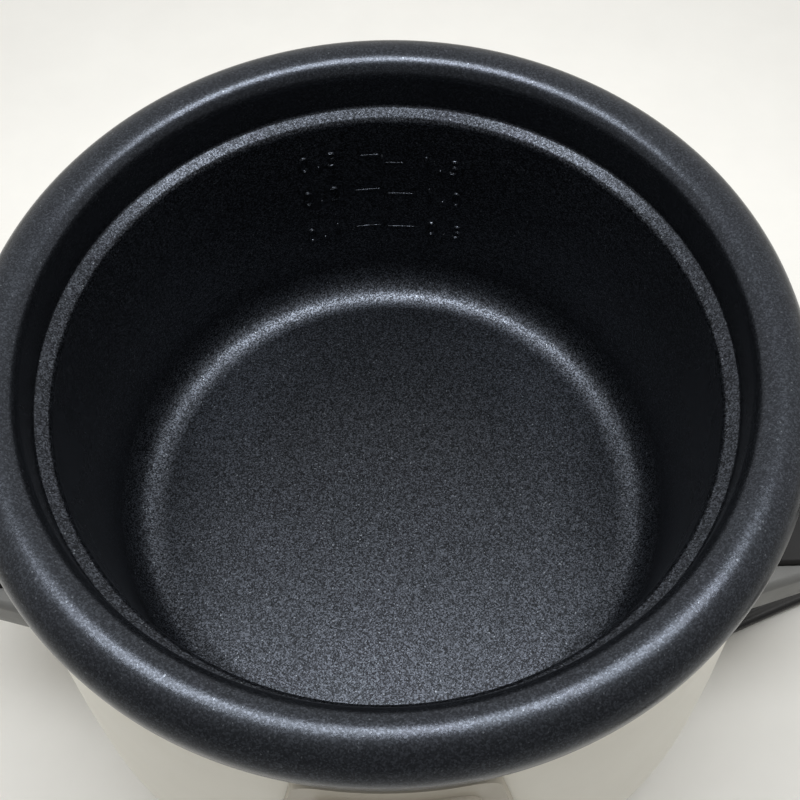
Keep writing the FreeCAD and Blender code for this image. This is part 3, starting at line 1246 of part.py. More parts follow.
# Tie round the coil, across the half turns that share one middle
coil_middle = coil_entry + Vector(coil_entry_heading.y, -coil_entry_heading.x, 0) * COIL_RADIUS
tie_inner_end = climb_radius - CORD_WIDTH / 2 - TIE_SIDE_ROOM
tie_outer_end = COIL_RADIUS + CORD_WIDTH / 2 + TIE_SIDE_ROOM
tie_low = CORD_LIFT - TIE_ROOM
tie_high = CORD_LIFT + CORD_THICKNESS + layer + TIE_SIDE_ROOM


def tie_solid(margin):
    corners = side([
        (tie_inner_end - margin, tie_low - margin),
        (tie_outer_end + margin, tie_low - margin),
        (tie_outer_end + margin, tie_high + margin),
        (tie_inner_end - margin, tie_high + margin),
    ])
    face_of_tie = rounded_face(corners, [0] * 4)
    face_of_tie.translate(Vector(0, -TIE_WIDTH / 2, 0))
    return face_of_tie.extrude(Vector(0, TIE_WIDTH, 0))


tie = tie_solid(TIE_SHEET).cut(tie_solid(0))
tie.rotate(ORIGIN, UP, math.degrees(math.atan2(coil_entry_heading.y, coil_entry_heading.x)))
tie.translate(Vector(coil_middle.x, coil_middle.y, 0))
parts["cord_tie"] = tie


# Strain relief and plug, built along +X and moved to the ends of the lead
def moved_along(shape, start, along):
    """A shape built along +X from the axis of the pot, moved to start at a place."""
    copy = turned(shape, math.degrees(math.atan2(along.y, along.x)))
    copy.translate(Vector(start.x, start.y, 0))
    return copy


def tapered(start, start_height, start_margin, end, end_height, end_margin):
    """Loft between two outlines grown from that of the cord."""
    sections = [
        cord_section(Vector(start, 0, start_height), Vector(1, 0, 0), start_margin),
        cord_section(Vector(end, 0, end_height), Vector(1, 0, 0), end_margin),
    ]
    return Part.makeLoft(sections, True, True)


gland_block = block(
    (-GLAND_TAPER_LENGTH - GLAND_BLOCK_LENGTH, -GLAND_TAPER_LENGTH),
    (-GLAND_BLOCK_WIDTH / 2, GLAND_BLOCK_WIDTH / 2),
    (GLAND_LIFT, TRAY_UNDER))
gland_block = rounded_edges(
    gland_block, GLAND_ROUND, lambda edge: edge.BoundBox.ZLength > TRAY_UNDER / 2)
gland_taper = tapered(
    -GLAND_TAPER_LENGTH - GLAND_ROUND, GLAND_ROOT_HEIGHT, GLAND_MARGINS[0], 0, CORD_HEIGHT, GLAND_MARGINS[1])
parts["cord_gland"] = moved_along(gland_block.fuse(gland_taper).removeSplitter(), run_points[0], run_start)

plug_end = PLUG_RELIEF_LENGTH + PLUG_LENGTH
half_plug = PLUG_WIDTH / 2
half_neck = PLUG_NECK_WIDTH / 2
plug_face = rounded_face(
    plan([
        (PLUG_RELIEF_LENGTH, -half_neck),
        (PLUG_RELIEF_LENGTH + PLUG_SHOULDER, -half_plug),
        (plug_end, -half_plug),
        (plug_end, half_plug),
        (PLUG_RELIEF_LENGTH + PLUG_SHOULDER, half_plug),
        (PLUG_RELIEF_LENGTH, half_neck),
    ], PLUG_LIFT),
    [PLUG_ROUND] * 6,
)
plug = plug_face.extrude(UP * PLUG_THICKNESS)
plug = rounded_edges(
    plug, PLUG_EDGE_ROUND, lambda edge: edge.BoundBox.ZLength < 0.01)
relief = tapered(
    0, plug_height, PLUG_MARGINS[0], PLUG_RELIEF_LENGTH + PLUG_ROUND, plug_height, PLUG_MARGINS[1])
blade_length, blade_sheet, blade_width = BLADE_SIZE
blades = []
for middle in (-BLADE_SPACING / 2, BLADE_SPACING / 2):
    blade = block(
        (plug_end - BLADE_ROOT, plug_end + blade_length),
        (middle - blade_sheet / 2, middle + blade_sheet / 2),
        (plug_height - blade_width / 2, plug_height + blade_width / 2))
    hole_start = Vector(plug_end + blade_length - BLADE_HOLE_FROM_TIP, middle - blade_sheet, plug_height)
    blade_hole = Part.makeCylinder(BLADE_HOLE_RADIUS, 2 * blade_sheet, hole_start, Vector(0, 1, 0))
    blades.append(blade.cut(blade_hole))
plug = plug.fuse(relief).cut(blades).removeSplitter()
tail_end = (tail_points[-1] - tail_points[-2]).normalize()
parts["plug_body"] = moved_along(plug, tail_points[-1], tail_end)
parts["plug_blades"] = Part.makeCompound([moved_along(blade, tail_points[-1], tail_end) for blade in blades])

# Sizes of the lead, and the parts themselves
cord_area = Part.Face(cord_section(ORIGIN, Vector(1, 0, 0))).Area
for name, edges in (("cord_run", run_edges), ("cord_coil", coil_edges), ("cord_tail", tail_edges)):
    length = sum(edge.Length for edge in edges)
    volume = parts[name].Volume
    print(f"{name}: length {length:.1f}, volume {volume:.1f}, section x length {length * cord_area:.1f}")
print("bend radii of the run:", [round(radius) for radius in run_radii])
print("bend radii of the tail:", [round(radius) for radius in tail_radii])
half_turn_points = round(math.pi * climb_radius / COIL_CHECK_SPACING)
print("least gap of the coil to itself:", round(
    least_gap(coil_turn_edges, COIL_CHECK_SPACING, half_turn_points, CORD_WIDTH, CORD_THICKNESS), 2))

os.makedirs("parts", exist_ok=True)
for name, shape in parts.items():
    shape.exportStep(f"parts/{name}.step")
    print(f"{name}: {len(shape.Solids)} solid(s), {shape.Volume / 1000:.2f} cm3, valid {shape.isValid()}")
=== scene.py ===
import math

import bmesh
import bpy
from mathutils import Matrix, Vector


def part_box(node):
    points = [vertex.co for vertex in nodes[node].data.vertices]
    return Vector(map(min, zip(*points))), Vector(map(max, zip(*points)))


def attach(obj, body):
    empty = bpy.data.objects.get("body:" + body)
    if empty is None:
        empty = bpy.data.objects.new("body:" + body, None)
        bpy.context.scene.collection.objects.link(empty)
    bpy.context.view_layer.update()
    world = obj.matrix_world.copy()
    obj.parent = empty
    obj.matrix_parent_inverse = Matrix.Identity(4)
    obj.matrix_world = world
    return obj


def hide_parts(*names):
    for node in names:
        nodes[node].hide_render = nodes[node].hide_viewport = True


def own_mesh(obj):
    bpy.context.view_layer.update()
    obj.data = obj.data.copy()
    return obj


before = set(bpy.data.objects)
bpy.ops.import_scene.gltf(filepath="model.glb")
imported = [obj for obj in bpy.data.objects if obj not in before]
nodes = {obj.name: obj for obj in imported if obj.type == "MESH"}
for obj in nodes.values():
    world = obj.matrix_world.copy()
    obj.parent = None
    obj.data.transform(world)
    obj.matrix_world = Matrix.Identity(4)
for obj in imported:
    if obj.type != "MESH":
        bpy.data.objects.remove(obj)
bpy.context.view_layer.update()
scene = bpy.context.scene


# Base tray and bottom cover.
# Both are moulded in black plastic with a fine grain. The cover is screwed on from below and lets
# air in through a ring of slots.
def new_finish(name):
    """A material with its tree and its shader."""
    finish = bpy.data.materials.new(name)
    finish.use_nodes = True
    return finish, finish.node_tree, finish.node_tree.nodes["Principled BSDF"]


def add_node(tree, kind, values=None, **settings):
    """A node with settings of its own and values for its inputs."""
    node = tree.nodes.new(kind)
    for name, value in settings.items():
        setattr(node, name, value)
    for name, value in (values or {}).items():
        node.inputs[name].default_value = value
    return node


def new_group(name, inputs, outputs):
    """A shader node group with named sockets, and its two ends."""
    group = bpy.data.node_groups.new(name, "ShaderNodeTree")
    for label, kind in inputs.items():
        group.interface.new_socket(label, in_out="INPUT", socket_type=kind)
    for label, kind in outputs.items():
        group.interface.new_socket(label, in_out="OUTPUT", socket_type=kind)
    return group, group.nodes.new("NodeGroupInput"), group.nodes.new("NodeGroupOutput")


NOISE_LOW, NOISE_HIGH = 0.32, 0.68   # the middle of a noise lies between these


def spread(tree, source, low, high):
    """The middle of a noise, spread from one input or number to another."""
    ranged = add_node(tree, "ShaderNodeMapRange", {"From Min": NOISE_LOW, "From Max": NOISE_HIGH})
    tree.links.new(source, ranged.inputs["Value"])
    for name, value in (("To Min", low), ("To Max", high)):
        if isinstance(value, float):
            ranged.inputs[name].default_value = value
        else:
            tree.links.new(value, ranged.inputs[name])
    return ranged.outputs["Result"]


VECTOR, FLOAT, COLOUR = "NodeSocketVector", "NodeSocketFloat", "NodeSocketColor"
LOOK_INPUTS = {"Colour": COLOUR, "Darkest": FLOAT, "Smoothest": FLOAT, "Roughest": FLOAT}
LOOK_OUTPUTS = {"Colour": COLOUR, "Roughness": FLOAT, "Height": FLOAT}

# Grain of a moulded, painted or rubber surface: pits for the bump, a slow drift of the tone, and
# handled patches that are smoother than the rest.
grain_group, given, made = new_group(
    "Moulded grain", {"Place": VECTOR, "Grains": FLOAT, **LOOK_INPUTS}, LOOK_OUTPUTS)
pits = add_node(grain_group, "ShaderNodeTexNoise", {"Detail": 2.0, "Roughness": 0.6})
clouds = add_node(grain_group, "ShaderNodeTexNoise", {"Scale": 42.0, "Detail": 5.0, "Roughness": 0.62})
patches = add_node(grain_group, "ShaderNodeTexNoise", {"Scale": 95.0, "Detail": 3.0, "Distortion": 0.6})
tone = add_node(grain_group, "ShaderNodeHueSaturation")
for texture in (pits, clouds, patches):
    grain_group.links.new(given.outputs["Place"], texture.inputs["Vector"])
grain_group.links.new(given.outputs["Grains"], pits.inputs["Scale"])
grain_group.links.new(given.outputs["Colour"], tone.inputs["Color"])
grain_group.links.new(
    spread(grain_group, clouds.outputs["Fac"], given.outputs["Darkest"], 1.0), tone.inputs["Value"])
grain_group.links.new(tone.outputs["Color"], made.inputs["Colour"])
grain_group.links.new(
    spread(grain_group, patches.outputs["Fac"], given.outputs["Smoothest"], given.outputs["Roughest"]),
    made.inputs["Roughness"])
grain_group.links.new(pits.outputs["Fac"], made.inputs["Height"])


def dress(tree, shader, look, height, depth):
    """Gives a shader the colour and roughness of a group, and a bump from a height, as deep as depth."""
    bump = add_node(tree, "ShaderNodeBump", {"Strength": 1.0, "Distance": depth})
    tree.links.new(look.outputs["Colour"], shader.inputs["Base Color"])
    tree.links.new(look.outputs["Roughness"], shader.inputs["Roughness"])
    tree.links.new(height, bump.inputs["Height"])
    tree.links.new(bump.outputs["Normal"], shader.inputs["Normal"])


def grained(name, colour, darkest, smoothest, roughest, grains, depth):
    """Material with the moulded grain; grains counts them along a metre, and depth is in metres."""
    finish, tree, shader = new_finish(name)
    place = add_node(tree, "ShaderNodeTexCoord")
    grain = add_node(tree, "ShaderNodeGroup", {
        "Grains": grains, "Colour": (*colour, 1.0), "Darkest": darkest,
        "Smoothest": smoothest, "Roughest": roughest}, node_tree=grain_group)
    tree.links.new(place.outputs["Object"], grain.inputs["Place"])
    dress(tree, shader, grain, grain.outputs["Height"], depth)
    return finish


def coat(finish, *names):
    """Puts a material on pieces of the frame."""
    for name in names:
        nodes[name].data.materials.clear()
        nodes[name].data.materials.append(finish)


coat(grained("black base plastic", colour=(0.040, 0.040, 0.042), darkest=0.82,
             smoothest=0.46, roughest=0.62, grains=2600.0, depth=0.00005),
     "base_tray", "bottom_cover")

# Feet.
# Four soft rubber pads with stems, pushed into holes of the tray. They pick up dust from the table.
coat(grained("foot rubber", colour=(0.050, 0.049, 0.047), darkest=0.70,
             smoothest=0.70, roughest=0.88, grains=1500.0, depth=0.00009), "feet")

# Screws.
# Plated steel screws with a cross recess. Those under the base show, so they get their heads here;
# the others sit inside the body, as do other small steel parts with the same plate.
metal_group, given, made = new_group(
    "Worked metal", {"Place": VECTOR, "Streaks": FLOAT, **LOOK_INPUTS}, LOOK_OUTPUTS)
streaks = add_node(metal_group, "ShaderNodeTexNoise", {"Detail": 4.0, "Roughness": 0.7})
stains = add_node(metal_group, "ShaderNodeTexNoise", {"Scale": 60.0, "Detail": 6.0, "Roughness": 0.65})
tone = add_node(metal_group, "ShaderNodeHueSaturation")
for texture in (streaks, stains):
    metal_group.links.new(given.outputs["Place"], texture.inputs["Vector"])
metal_group.links.new(given.outputs["Streaks"], streaks.inputs["Scale"])
metal_group.links.new(given.outputs["Colour"], tone.inputs["Color"])
metal_group.links.new(
    spread(metal_group, stains.outputs["Fac"], given.outputs["Darkest"], 1.0), tone.inputs["Value"])
metal_group.links.new(tone.outputs["Color"], made.inputs["Colour"])
metal_group.links.new(
    spread(metal_group, streaks.outputs["Fac"], given.outputs["Smoothest"], given.outputs["Roughest"]),
    made.inputs["Roughness"])
metal_group.links.new(streaks.outputs["Fac"], made.inputs["Height"])


def worked_metal(name, colour, darkest, smoothest, roughest, streak_count, stretch, depth):
    """Metal with streaks; stretch makes them long where it is small, along X, Y and Z."""
    finish, tree, shader = new_finish(name)
    place = add_node(tree, "ShaderNodeTexCoord")
    drawn = add_node(tree, "ShaderNodeMapping", {"Scale": stretch})
    metal = add_node(tree, "ShaderNodeGroup", {
        "Streaks": streak_count, "Colour": (*colour, 1.0), "Darkest": darkest,
        "Smoothest": smoothest, "Roughest": roughest}, node_tree=metal_group)
    tree.links.new(place.outputs["Object"], drawn.inputs["Vector"])
    tree.links.new(drawn.outputs["Vector"], metal.inputs["Place"])
    dress(tree, shader, metal, metal.outputs["Height"], depth)
    shader.inputs["Metallic"].default_value = 1.0
    return finish


EVENLY = (1.0, 1.0, 1.0)
zinc = worked_metal("zinc plated steel", colour=(0.60, 0.60, 0.59), darkest=0.72,
                    smoothest=0.28, roughest=0.46, streak_count=700.0, stretch=EVENLY, depth=0.00001)
coat(zinc, "rim_ring_screws", "plate_screws", "panel_screws", "handle_screws",
     "magnet_carrier", "switch_lever", "lever_bracket", "pivot_pin", "fuse_strap")

HEAD_OUTLINE = (             # shares of the radius and the height of a screw's head, from its middle
    (0.0, 1.0), (0.72, 1.0), (0.93, 0.82), (1.0, 0.45), (1.0, 0.0))
HEAD_STEPS = 24
CROSS_REACH, CROSS_WIDTH = 1.15, 0.26        # of the recess, as shares of the head's radius
POST_RING, POST_SEAT = 0.0576, 0.0078        # radius of the ring of screws, and height of their seats
COVER_RING, COVER_SEAT = 0.0405, 0.0050
JOIN_WITHIN = 1e-7           # points of a mesh nearer than this become one


def new_piece(name, mesh, *finishes):
    """An object for a mesh, at the origin."""
    piece = bpy.data.objects.new(name, mesh)
    scene.collection.objects.link(piece)
    for finish in finishes:
        mesh.materials.append(finish)
    return piece


def finished_mesh(name, work, smooth):
    """A mesh from a work mesh, with double points joined and its faces turned outwards."""
    bmesh.ops.remove_doubles(work, verts=work.verts, dist=JOIN_WITHIN)
    bmesh.ops.recalc_face_normals(work, faces=work.faces)
    for face in work.faces:
        face.smooth = smooth
    mesh = bpy.data.meshes.new(name)
    work.to_mesh(mesh)
    work.free()
    return mesh


def turned_mesh(name, outline, steps, smooth):
    """A closed mesh from an outline of radii and heights, turned about the upright axis."""
    work = bmesh.new()
    line = [work.verts.new((radius, 0.0, height)) for radius, height in outline]
    edges = [work.edges.new(pair) for pair in zip(line, line[1:])]
    bmesh.ops.spin(work, geom=line + edges, cent=(0, 0, 0), axis=(0, 0, 1), angle=math.tau, steps=steps)
    return finished_mesh(name, work, smooth)


def plain_mesh(thing):
    """The mesh of an object, with its modifiers or its curve worked out."""
    return bpy.data.meshes.new_from_object(thing.evaluated_get(bpy.context.evaluated_depsgraph_get()))


def screw_form(name, head_radius, head_height, shank_radius, shank_length):
    """A screw that points up from the seat of its head, with a cross cut into the head."""
    outline = [(out * head_radius, -up * head_height) for out, up in HEAD_OUTLINE]
    outline += [(shank_radius, 0.0), (shank_radius, shank_length), (0.0, shank_length)]
    form = new_piece(name, turned_mesh(name, outline, HEAD_STEPS, False))
    cutters = []
    for turn in (0.0, math.pi / 2):
        blade = bmesh.new()
        size = (CROSS_REACH * head_radius, CROSS_WIDTH * head_radius, head_height)
        bmesh.ops.create_cube(blade, size=1.0)
        bmesh.ops.transform(
            blade, verts=blade.verts,
            matrix=Matrix.Translation((0, 0, -head_height)) @ Matrix.Rotation(turn, 4, "Z")
            @ Matrix.Diagonal((*size, 1.0)))
        cut_mesh = bpy.data.meshes.new(name + "_cut")
        blade.to_mesh(cut_mesh)
        blade.free()
        cutter = new_piece(name + "_cut", cut_mesh)
        cut = form.modifiers.new("cross", "BOOLEAN")
        cut.operation = "DIFFERENCE"
        cut.object = cutter
        cutters.append(cutter)
    shape = plain_mesh(form)
    for thing in [form] + cutters:
        bpy.data.objects.remove(thing)
    return new_piece(name, shape)


def screw_tree(name):
    """Geometry nodes that stand one form on every point, each turned its own way."""
    tree = bpy.data.node_groups.new(name, "GeometryNodeTree")
    tree.interface.new_socket("Points", in_out="INPUT", socket_type="NodeSocketGeometry")
    tree.interface.new_socket("Form", in_out="INPUT", socket_type="NodeSocketObject")
    tree.interface.new_socket("Finish", in_out="INPUT", socket_type="NodeSocketMaterial")
    tree.interface.new_socket("Screws", in_out="OUTPUT", socket_type="NodeSocketGeometry")
    start = tree.nodes.new("NodeGroupInput")
    end = tree.nodes.new("NodeGroupOutput")
    form = add_node(tree, "GeometryNodeObjectInfo")
    spot = add_node(tree, "GeometryNodeMeshToPoints")
    turn = add_node(tree, "FunctionNodeRandomValue", {
        "Min": (0.0, 0.0, 0.0), "Max": (0.0, 0.0, math.pi / 2), "Seed": 7}, data_type="FLOAT_VECTOR")
    stand = add_node(tree, "GeometryNodeInstanceOnPoints")
    real = add_node(tree, "GeometryNodeRealizeInstances")
    paint = add_node(tree, "GeometryNodeSetMaterial")
    tree.links.new(start.outputs["Points"], spot.inputs["Mesh"])
    tree.links.new(start.outputs["Form"], form.inputs["Object"])
    tree.links.new(spot.outputs["Points"], stand.inputs["Points"])
    tree.links.new(form.outputs["Geometry"], stand.inputs["Instance"])
    tree.links.new(turn.outputs["Value"], stand.inputs["Rotation"])
    tree.links.new(stand.outputs["Instances"], real.inputs["Geometry"])
    tree.links.new(real.outputs["Geometry"], paint.inputs["Geometry"])
    tree.links.new(start.outputs["Finish"], paint.inputs["Material"])
    tree.links.new(paint.outputs["Geometry"], end.inputs["Screws"])
    return tree


def mesh_by_nodes(mesh, tree, values):
    """The plain mesh that geometry nodes make from a mesh, with values for their inputs."""
    holder = new_piece(mesh.name, mesh)
    work = holder.modifiers.new("nodes", "NODES")
    work.node_group = tree
    for socket, value in values.items():
        work[tree.interface.items_tree[socket].identifier] = value
    result = plain_mesh(holder)
    bpy.data.objects.remove(holder)
    return result


screws_on_points = screw_tree("Screws on points")


def set_screws(name, form, places):
    """Screws of one form at places, as one plain mesh."""
    points = bpy.data.meshes.new(name + "_points")
    points.from_pydata(places, [], [])
    return new_piece(name, mesh_by_nodes(points, screws_on_points, {"Form": form, "Finish": zinc}))


def ring_places(radius, height, angles):
    """Places on a level ring, at angles in degrees."""
    return [(radius * math.cos(math.radians(angle)), radius * math.sin(math.radians(angle)), height)
            for angle in angles]


post_form = screw_form(
    "post_screw_form", head_radius=0.0028, head_height=0.0018, shank_radius=0.0015, shank_length=0.0190)
post_screws = set_screws("post_screws", post_form, ring_places(POST_RING, POST_SEAT, (30, 150, 210, 330)))
cover_form = screw_form(
    "cover_screw_form", head_radius=0.0019, head_height=0.0013, shank_radius=0.0011, shank_length=0.0034)
cover_screws = set_screws("cover_screws", cover_form, ring_places(COVER_RING, COVER_SEAT, (30, 150, 270)))
for form in (post_form, cover_form):
    bpy.data.objects.remove(form)
for piece in (post_screws, cover_screws):
    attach(piece, "cooker")
    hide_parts("base_screws")

# Well and sensor housing.
# The well is drawn from thin bright steel, with fine vertical draw lines. The housing is pressed from
# the same sheet and hangs below the hot plate.
UPRIGHT_STREAKS = (1.0, 1.0, 0.06)
coat(worked_metal("drawn sheet steel", colour=(0.62, 0.62, 0.61), darkest=0.66,
                  smoothest=0.22, roughest=0.42, streak_count=620.0, stretch=UPRIGHT_STREAKS, depth=0.00002),
     "inner_well", "sensor_housing")

# Hot plate and sensor cap.
# Cast aluminium, faced on a lathe, so its top has fine rings that catch the light. The sensor's cap
# is turned from the same metal.
finish, tree, shader = new_finish("turned cast aluminium")
place = add_node(tree, "ShaderNodeTexCoord")
rings = add_node(tree, "ShaderNodeTexWave", {
    "Scale": 420.0, "Distortion": 1.4, "Detail": 2.0, "Detail Scale": 30.0},
    wave_type="RINGS", rings_direction="Z")
metal = add_node(tree, "ShaderNodeGroup", {
    "Streaks": 260.0, "Colour": (0.66, 0.65, 0.63, 1.0), "Darkest": 0.62,
    "Smoothest": 0.30, "Roughest": 0.50}, node_tree=metal_group)
tree.links.new(place.outputs["Object"], rings.inputs["Vector"])
tree.links.new(place.outputs["Object"], metal.inputs["Place"])
dress(tree, shader, metal, rings.outputs["Fac"], depth=0.00003)
shader.inputs["Metallic"].default_value = 1.0
coat(finish, "heating_plate", "sensor_cap")

# Sensor spring.
# Coiled from round steel wire, between the floor of the housing and the flange of the sensor's cap. The
# pot pushes the cap down by a millimetre and a half, and the spring gives by as much.
SPRING_TURNS = 4.0
SPRING_POINTS = 40           # on each turn
WIRE_RADIUS = 0.00045
WIRE_POINTS = 12


def spring_tree(name):
    """Geometry nodes that coil a wire about the upright axis."""
    tree = bpy.data.node_groups.new(name, "GeometryNodeTree")
    for label in ("Turns", "Coil radius", "Height", "Wire radius"):
        tree.interface.new_socket(label, in_out="INPUT", socket_type=FLOAT)
    tree.interface.new_socket("Finish", in_out="INPUT", socket_type="NodeSocketMaterial")
    tree.interface.new_socket("Spring", in_out="OUTPUT", socket_type="NodeSocketGeometry")
    start = tree.nodes.new("NodeGroupInput")
    end = tree.nodes.new("NodeGroupOutput")
    coil = add_node(tree, "GeometryNodeCurveSpiral", {"Resolution": SPRING_POINTS})
    wire = add_node(tree, "GeometryNodeCurvePrimitiveCircle", {"Resolution": WIRE_POINTS})
    swept = add_node(tree, "GeometryNodeCurveToMesh", {"Fill Caps": True})
    real = add_node(tree, "GeometryNodeRealizeInstances")
    paint = add_node(tree, "GeometryNodeSetMaterial")
    tree.links.new(start.outputs["Turns"], coil.inputs["Rotations"])
    tree.links.new(start.outputs["Coil radius"], coil.inputs["Start Radius"])
    tree.links.new(start.outputs["Coil radius"], coil.inputs["End Radius"])
    tree.links.new(start.outputs["Height"], coil.inputs["Height"])
    tree.links.new(start.outputs["Wire radius"], wire.inputs["Radius"])
    tree.links.new(coil.outputs["Curve"], swept.inputs["Curve"])
    tree.links.new(wire.outputs["Curve"], swept.inputs["Profile Curve"])
    tree.links.new(swept.outputs["Mesh"], real.inputs["Geometry"])
    tree.links.new(real.outputs["Geometry"], paint.inputs["Geometry"])
    tree.links.new(start.outputs["Finish"], paint.inputs["Material"])
    tree.links.new(paint.outputs["Geometry"], end.inputs["Spring"])
    return tree


spring_low, spring_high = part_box("sensor_spring")
spring_height = spring_high.z - spring_low.z
coiled = mesh_by_nodes(bpy.data.meshes.new("spring_holder"), spring_tree("Coil spring"), {
    "Turns": SPRING_TURNS, "Coil radius": spring_high.y - WIRE_RADIUS,
    "Height": spring_height - 2 * WIRE_RADIUS, "Wire radius": WIRE_RADIUS, "Finish": zinc})
work = bmesh.new()
work.from_mesh(coiled)
bmesh.ops.remove_doubles(work, verts=work.verts, dist=JOIN_WITHIN)
bmesh.ops.translate(work, verts=work.verts, vec=(0, 0, spring_low.z + WIRE_RADIUS))
bmesh.ops.recalc_face_normals(work, faces=work.faces)
for face in work.faces:
    face.smooth = len(face.verts) == 4
work.to_mesh(coiled)
work.free()
press_spring = new_piece("press_spring", coiled)
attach(press_spring, "cooker")
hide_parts("sensor_spring")
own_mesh(press_spring)

# Heating element.
# A steel tube packed with powder and wire, cast into the rib of the plate. Its surface is oxidised.
coat(worked_metal("oxidised tube", colour=(0.30, 0.28, 0.26), darkest=0.55,
                  smoothest=0.45, roughest=0.70, streak_count=500.0, stretch=EVENLY, depth=0.00004),
     "heating_element")

# Ferrite and magnet.
# Sintered discs, dark and slightly porous, one in the sensor and one on the lifting rod.
coat(worked_metal("sintered ferrite", colour=(0.10, 0.10, 0.11), darkest=0.70,
                  smoothest=0.50, roughest=0.68, streak_count=900.0, stretch=EVENLY, depth=0.00005),
     "sensor_ferrite", "lift_magnet")

# Terminals and plug blades.
# Tin-plated brass, punched from strip.
SIDEWAYS_STREAKS = (0.2, 1.0, 1.0)
coat(worked_metal("plated brass", colour=(0.74, 0.68, 0.52), darkest=0.75,
                  smoothest=0.20, roughest=0.36, streak_count=800.0, stretch=SIDEWAYS_STREAKS, depth=0.00001),
     "heater_terminals", "plug_blades")

# Contact, thermostat, fuse, terminal block and lamp holder.
# Small moulded parts in heat-proof white plastic, screwed or strapped below the well.
coat(grained("white heat-proof plastic", colour=(0.76, 0.75, 0.70), darkest=0.88,
             smoothest=0.35, roughest=0.50, grains=1800.0, depth=0.00003),
     "contact_switch", "keep_warm_thermostat", "thermal_fuse", "terminal_block", "lamp_holder")
coat(grained("dark plunger plastic", colour=(0.10, 0.10, 0.10), darkest=0.85,
             smoothest=0.40, roughest=0.55, grains=1800.0, depth=0.00003), "switch_plunger")

# Outer shell.
# Drawn from steel sheet and painted cream. The enamel is nearly smooth, with a satin sheen.
coat(grained("cream enamel", colour=(0.90, 0.875, 0.785), darkest=0.97,
             smoothest=0.38, roughest=0.44, grains=1100.0, depth=0.0000008), "outer_shell")

# Ring on the mouth of the body.
# Dark heat-proof plastic; the lip of the pot hangs over it.
coat(grained("dark ring plastic", colour=(0.045, 0.045, 0.047), darkest=0.85,
             smoothest=0.45, roughest=0.60, grains=2200.0, depth=0.00005), "rim_ring")

# Front panel and its inset face.
# Moulded in warm grey plastic with a satin grain. The face inside the raised frame is coloured darker, as
# painted shade in its recess.
coat(grained("warm grey plastic", colour=(0.54, 0.50, 0.42), darkest=0.93,
             smoothest=0.38, roughest=0.50, grains=3000.0, depth=0.00003), "front_panel")
# Painted shade: the face in the recess of the frame is coloured dark grey.
coat(grained("dark grey insert", colour=(0.150, 0.140, 0.120), darkest=0.90,
             smoothest=0.36, roughest=0.48, grains=3000.0, depth=0.00003), "panel_face")

# Cook key.
# Black moulded key, pushed on the end of the lever and polished a little by thumbs.
coat(grained("black key plastic", colour=(0.020, 0.020, 0.021), darkest=0.85,
             smoothest=0.28, roughest=0.44, grains=2600.0, depth=0.00002), "switch_key")

# Lamp lenses.
# Clear coloured plastic with a domed end. The flange behind the panel holds each lens.
LENS_DEPTH = 0.7             # of the colour in the darker haze, beside 1.0


def clear_plastic(name, colour):
    """Coloured transparent plastic with a little haze."""
    finish, tree, shader = new_finish(name)
    place = add_node(tree, "ShaderNodeTexCoord")
    haze = add_node(tree, "ShaderNodeTexNoise", {"Scale": 900.0, "Detail": 2.0})
    deep = tuple(LENS_DEPTH * part for part in colour)
    tint = add_node(tree, "ShaderNodeMix", {6: (*deep, 1.0), 7: (*colour, 1.0)}, data_type="RGBA")
    tree.links.new(place.outputs["Object"], haze.inputs["Vector"])
    tree.links.new(haze.outputs["Fac"], tint.inputs[0])
    tree.links.new(tint.outputs[2], shader.inputs["Base Color"])
    shader.inputs["Roughness"].default_value = 0.12
    shader.inputs["Transmission Weight"].default_value = 0.55
    shader.inputs["IOR"].default_value = 1.49
    return finish


coat(clear_plastic("red lens", (0.60, 0.045, 0.030)), "cook_lamp_lens")
coat(clear_plastic("amber lens", (0.72, 0.36, 0.05)), "warm_lamp_lens")

# Handles and grip covers.
# The ears are moulded in grey plastic and hollow below. A black cover is let into the top of each.
coat(grained("grey handle plastic", colour=(0.145, 0.146, 0.141), darkest=0.92,
             smoothest=0.40, roughest=0.54, grains=2800.0, depth=0.00004),
     "handle_right", "handle_left")
grip_plastic = grained("black grip plastic", colour=(0.012, 0.0115, 0.012), darkest=0.85,
                       smoothest=0.48, roughest=0.58, grains=2800.0, depth=0.00003)
grip_plastic.node_tree.nodes["Principled BSDF"].inputs["Specular IOR Level"].default_value = 0.25
coat(grip_plastic, "grip_cover_right", "grip_cover_left")

# Pot.
# Pressed from aluminium sheet 1.6 mm thick, with a rolled lip, a sloping step for a lid and a round
# bottom. It is sprayed black inside and out, and fine flakes in the coat glitter where light falls.
POT_OUTLINE = (              # radius, height and round of each corner
    (0.0, 0.0415, 0.0),          # middle of the floor
    (0.0625, 0.0415, 0.0090),    # foot of the wall
    (0.0637, 0.1001, 0.0020),    # inner edge of the step
    (0.0665, 0.1021, 0.0009),    # foot of the collar
    (0.06665, 0.1140, 0.0043),   # inner side of the roll
    (0.0780, 0.1140, 0.0068),    # outer side of the roll
    (0.0780, 0.1050, 0.0004),    # end of the roll
    (0.0764, 0.1050, 0.0004),
    (0.0764, 0.1124, 0.0052),    # back of the sheet, in the roll
    (0.06825, 0.1124, 0.0027),
    (0.0681, 0.0994, 0.0022),    # back of the collar and of the step
    (0.0653, 0.0994, 0.0),
    (0.0641, 0.0399, 0.0106),    # back of the wall and of the floor
    (0.0, 0.0399, 0.0))
POT_STEPS = 240              # round the axis
ROUND_STEPS = 14
EASE = 0.0001                # from the end of a round to the first edge on the straight beside it


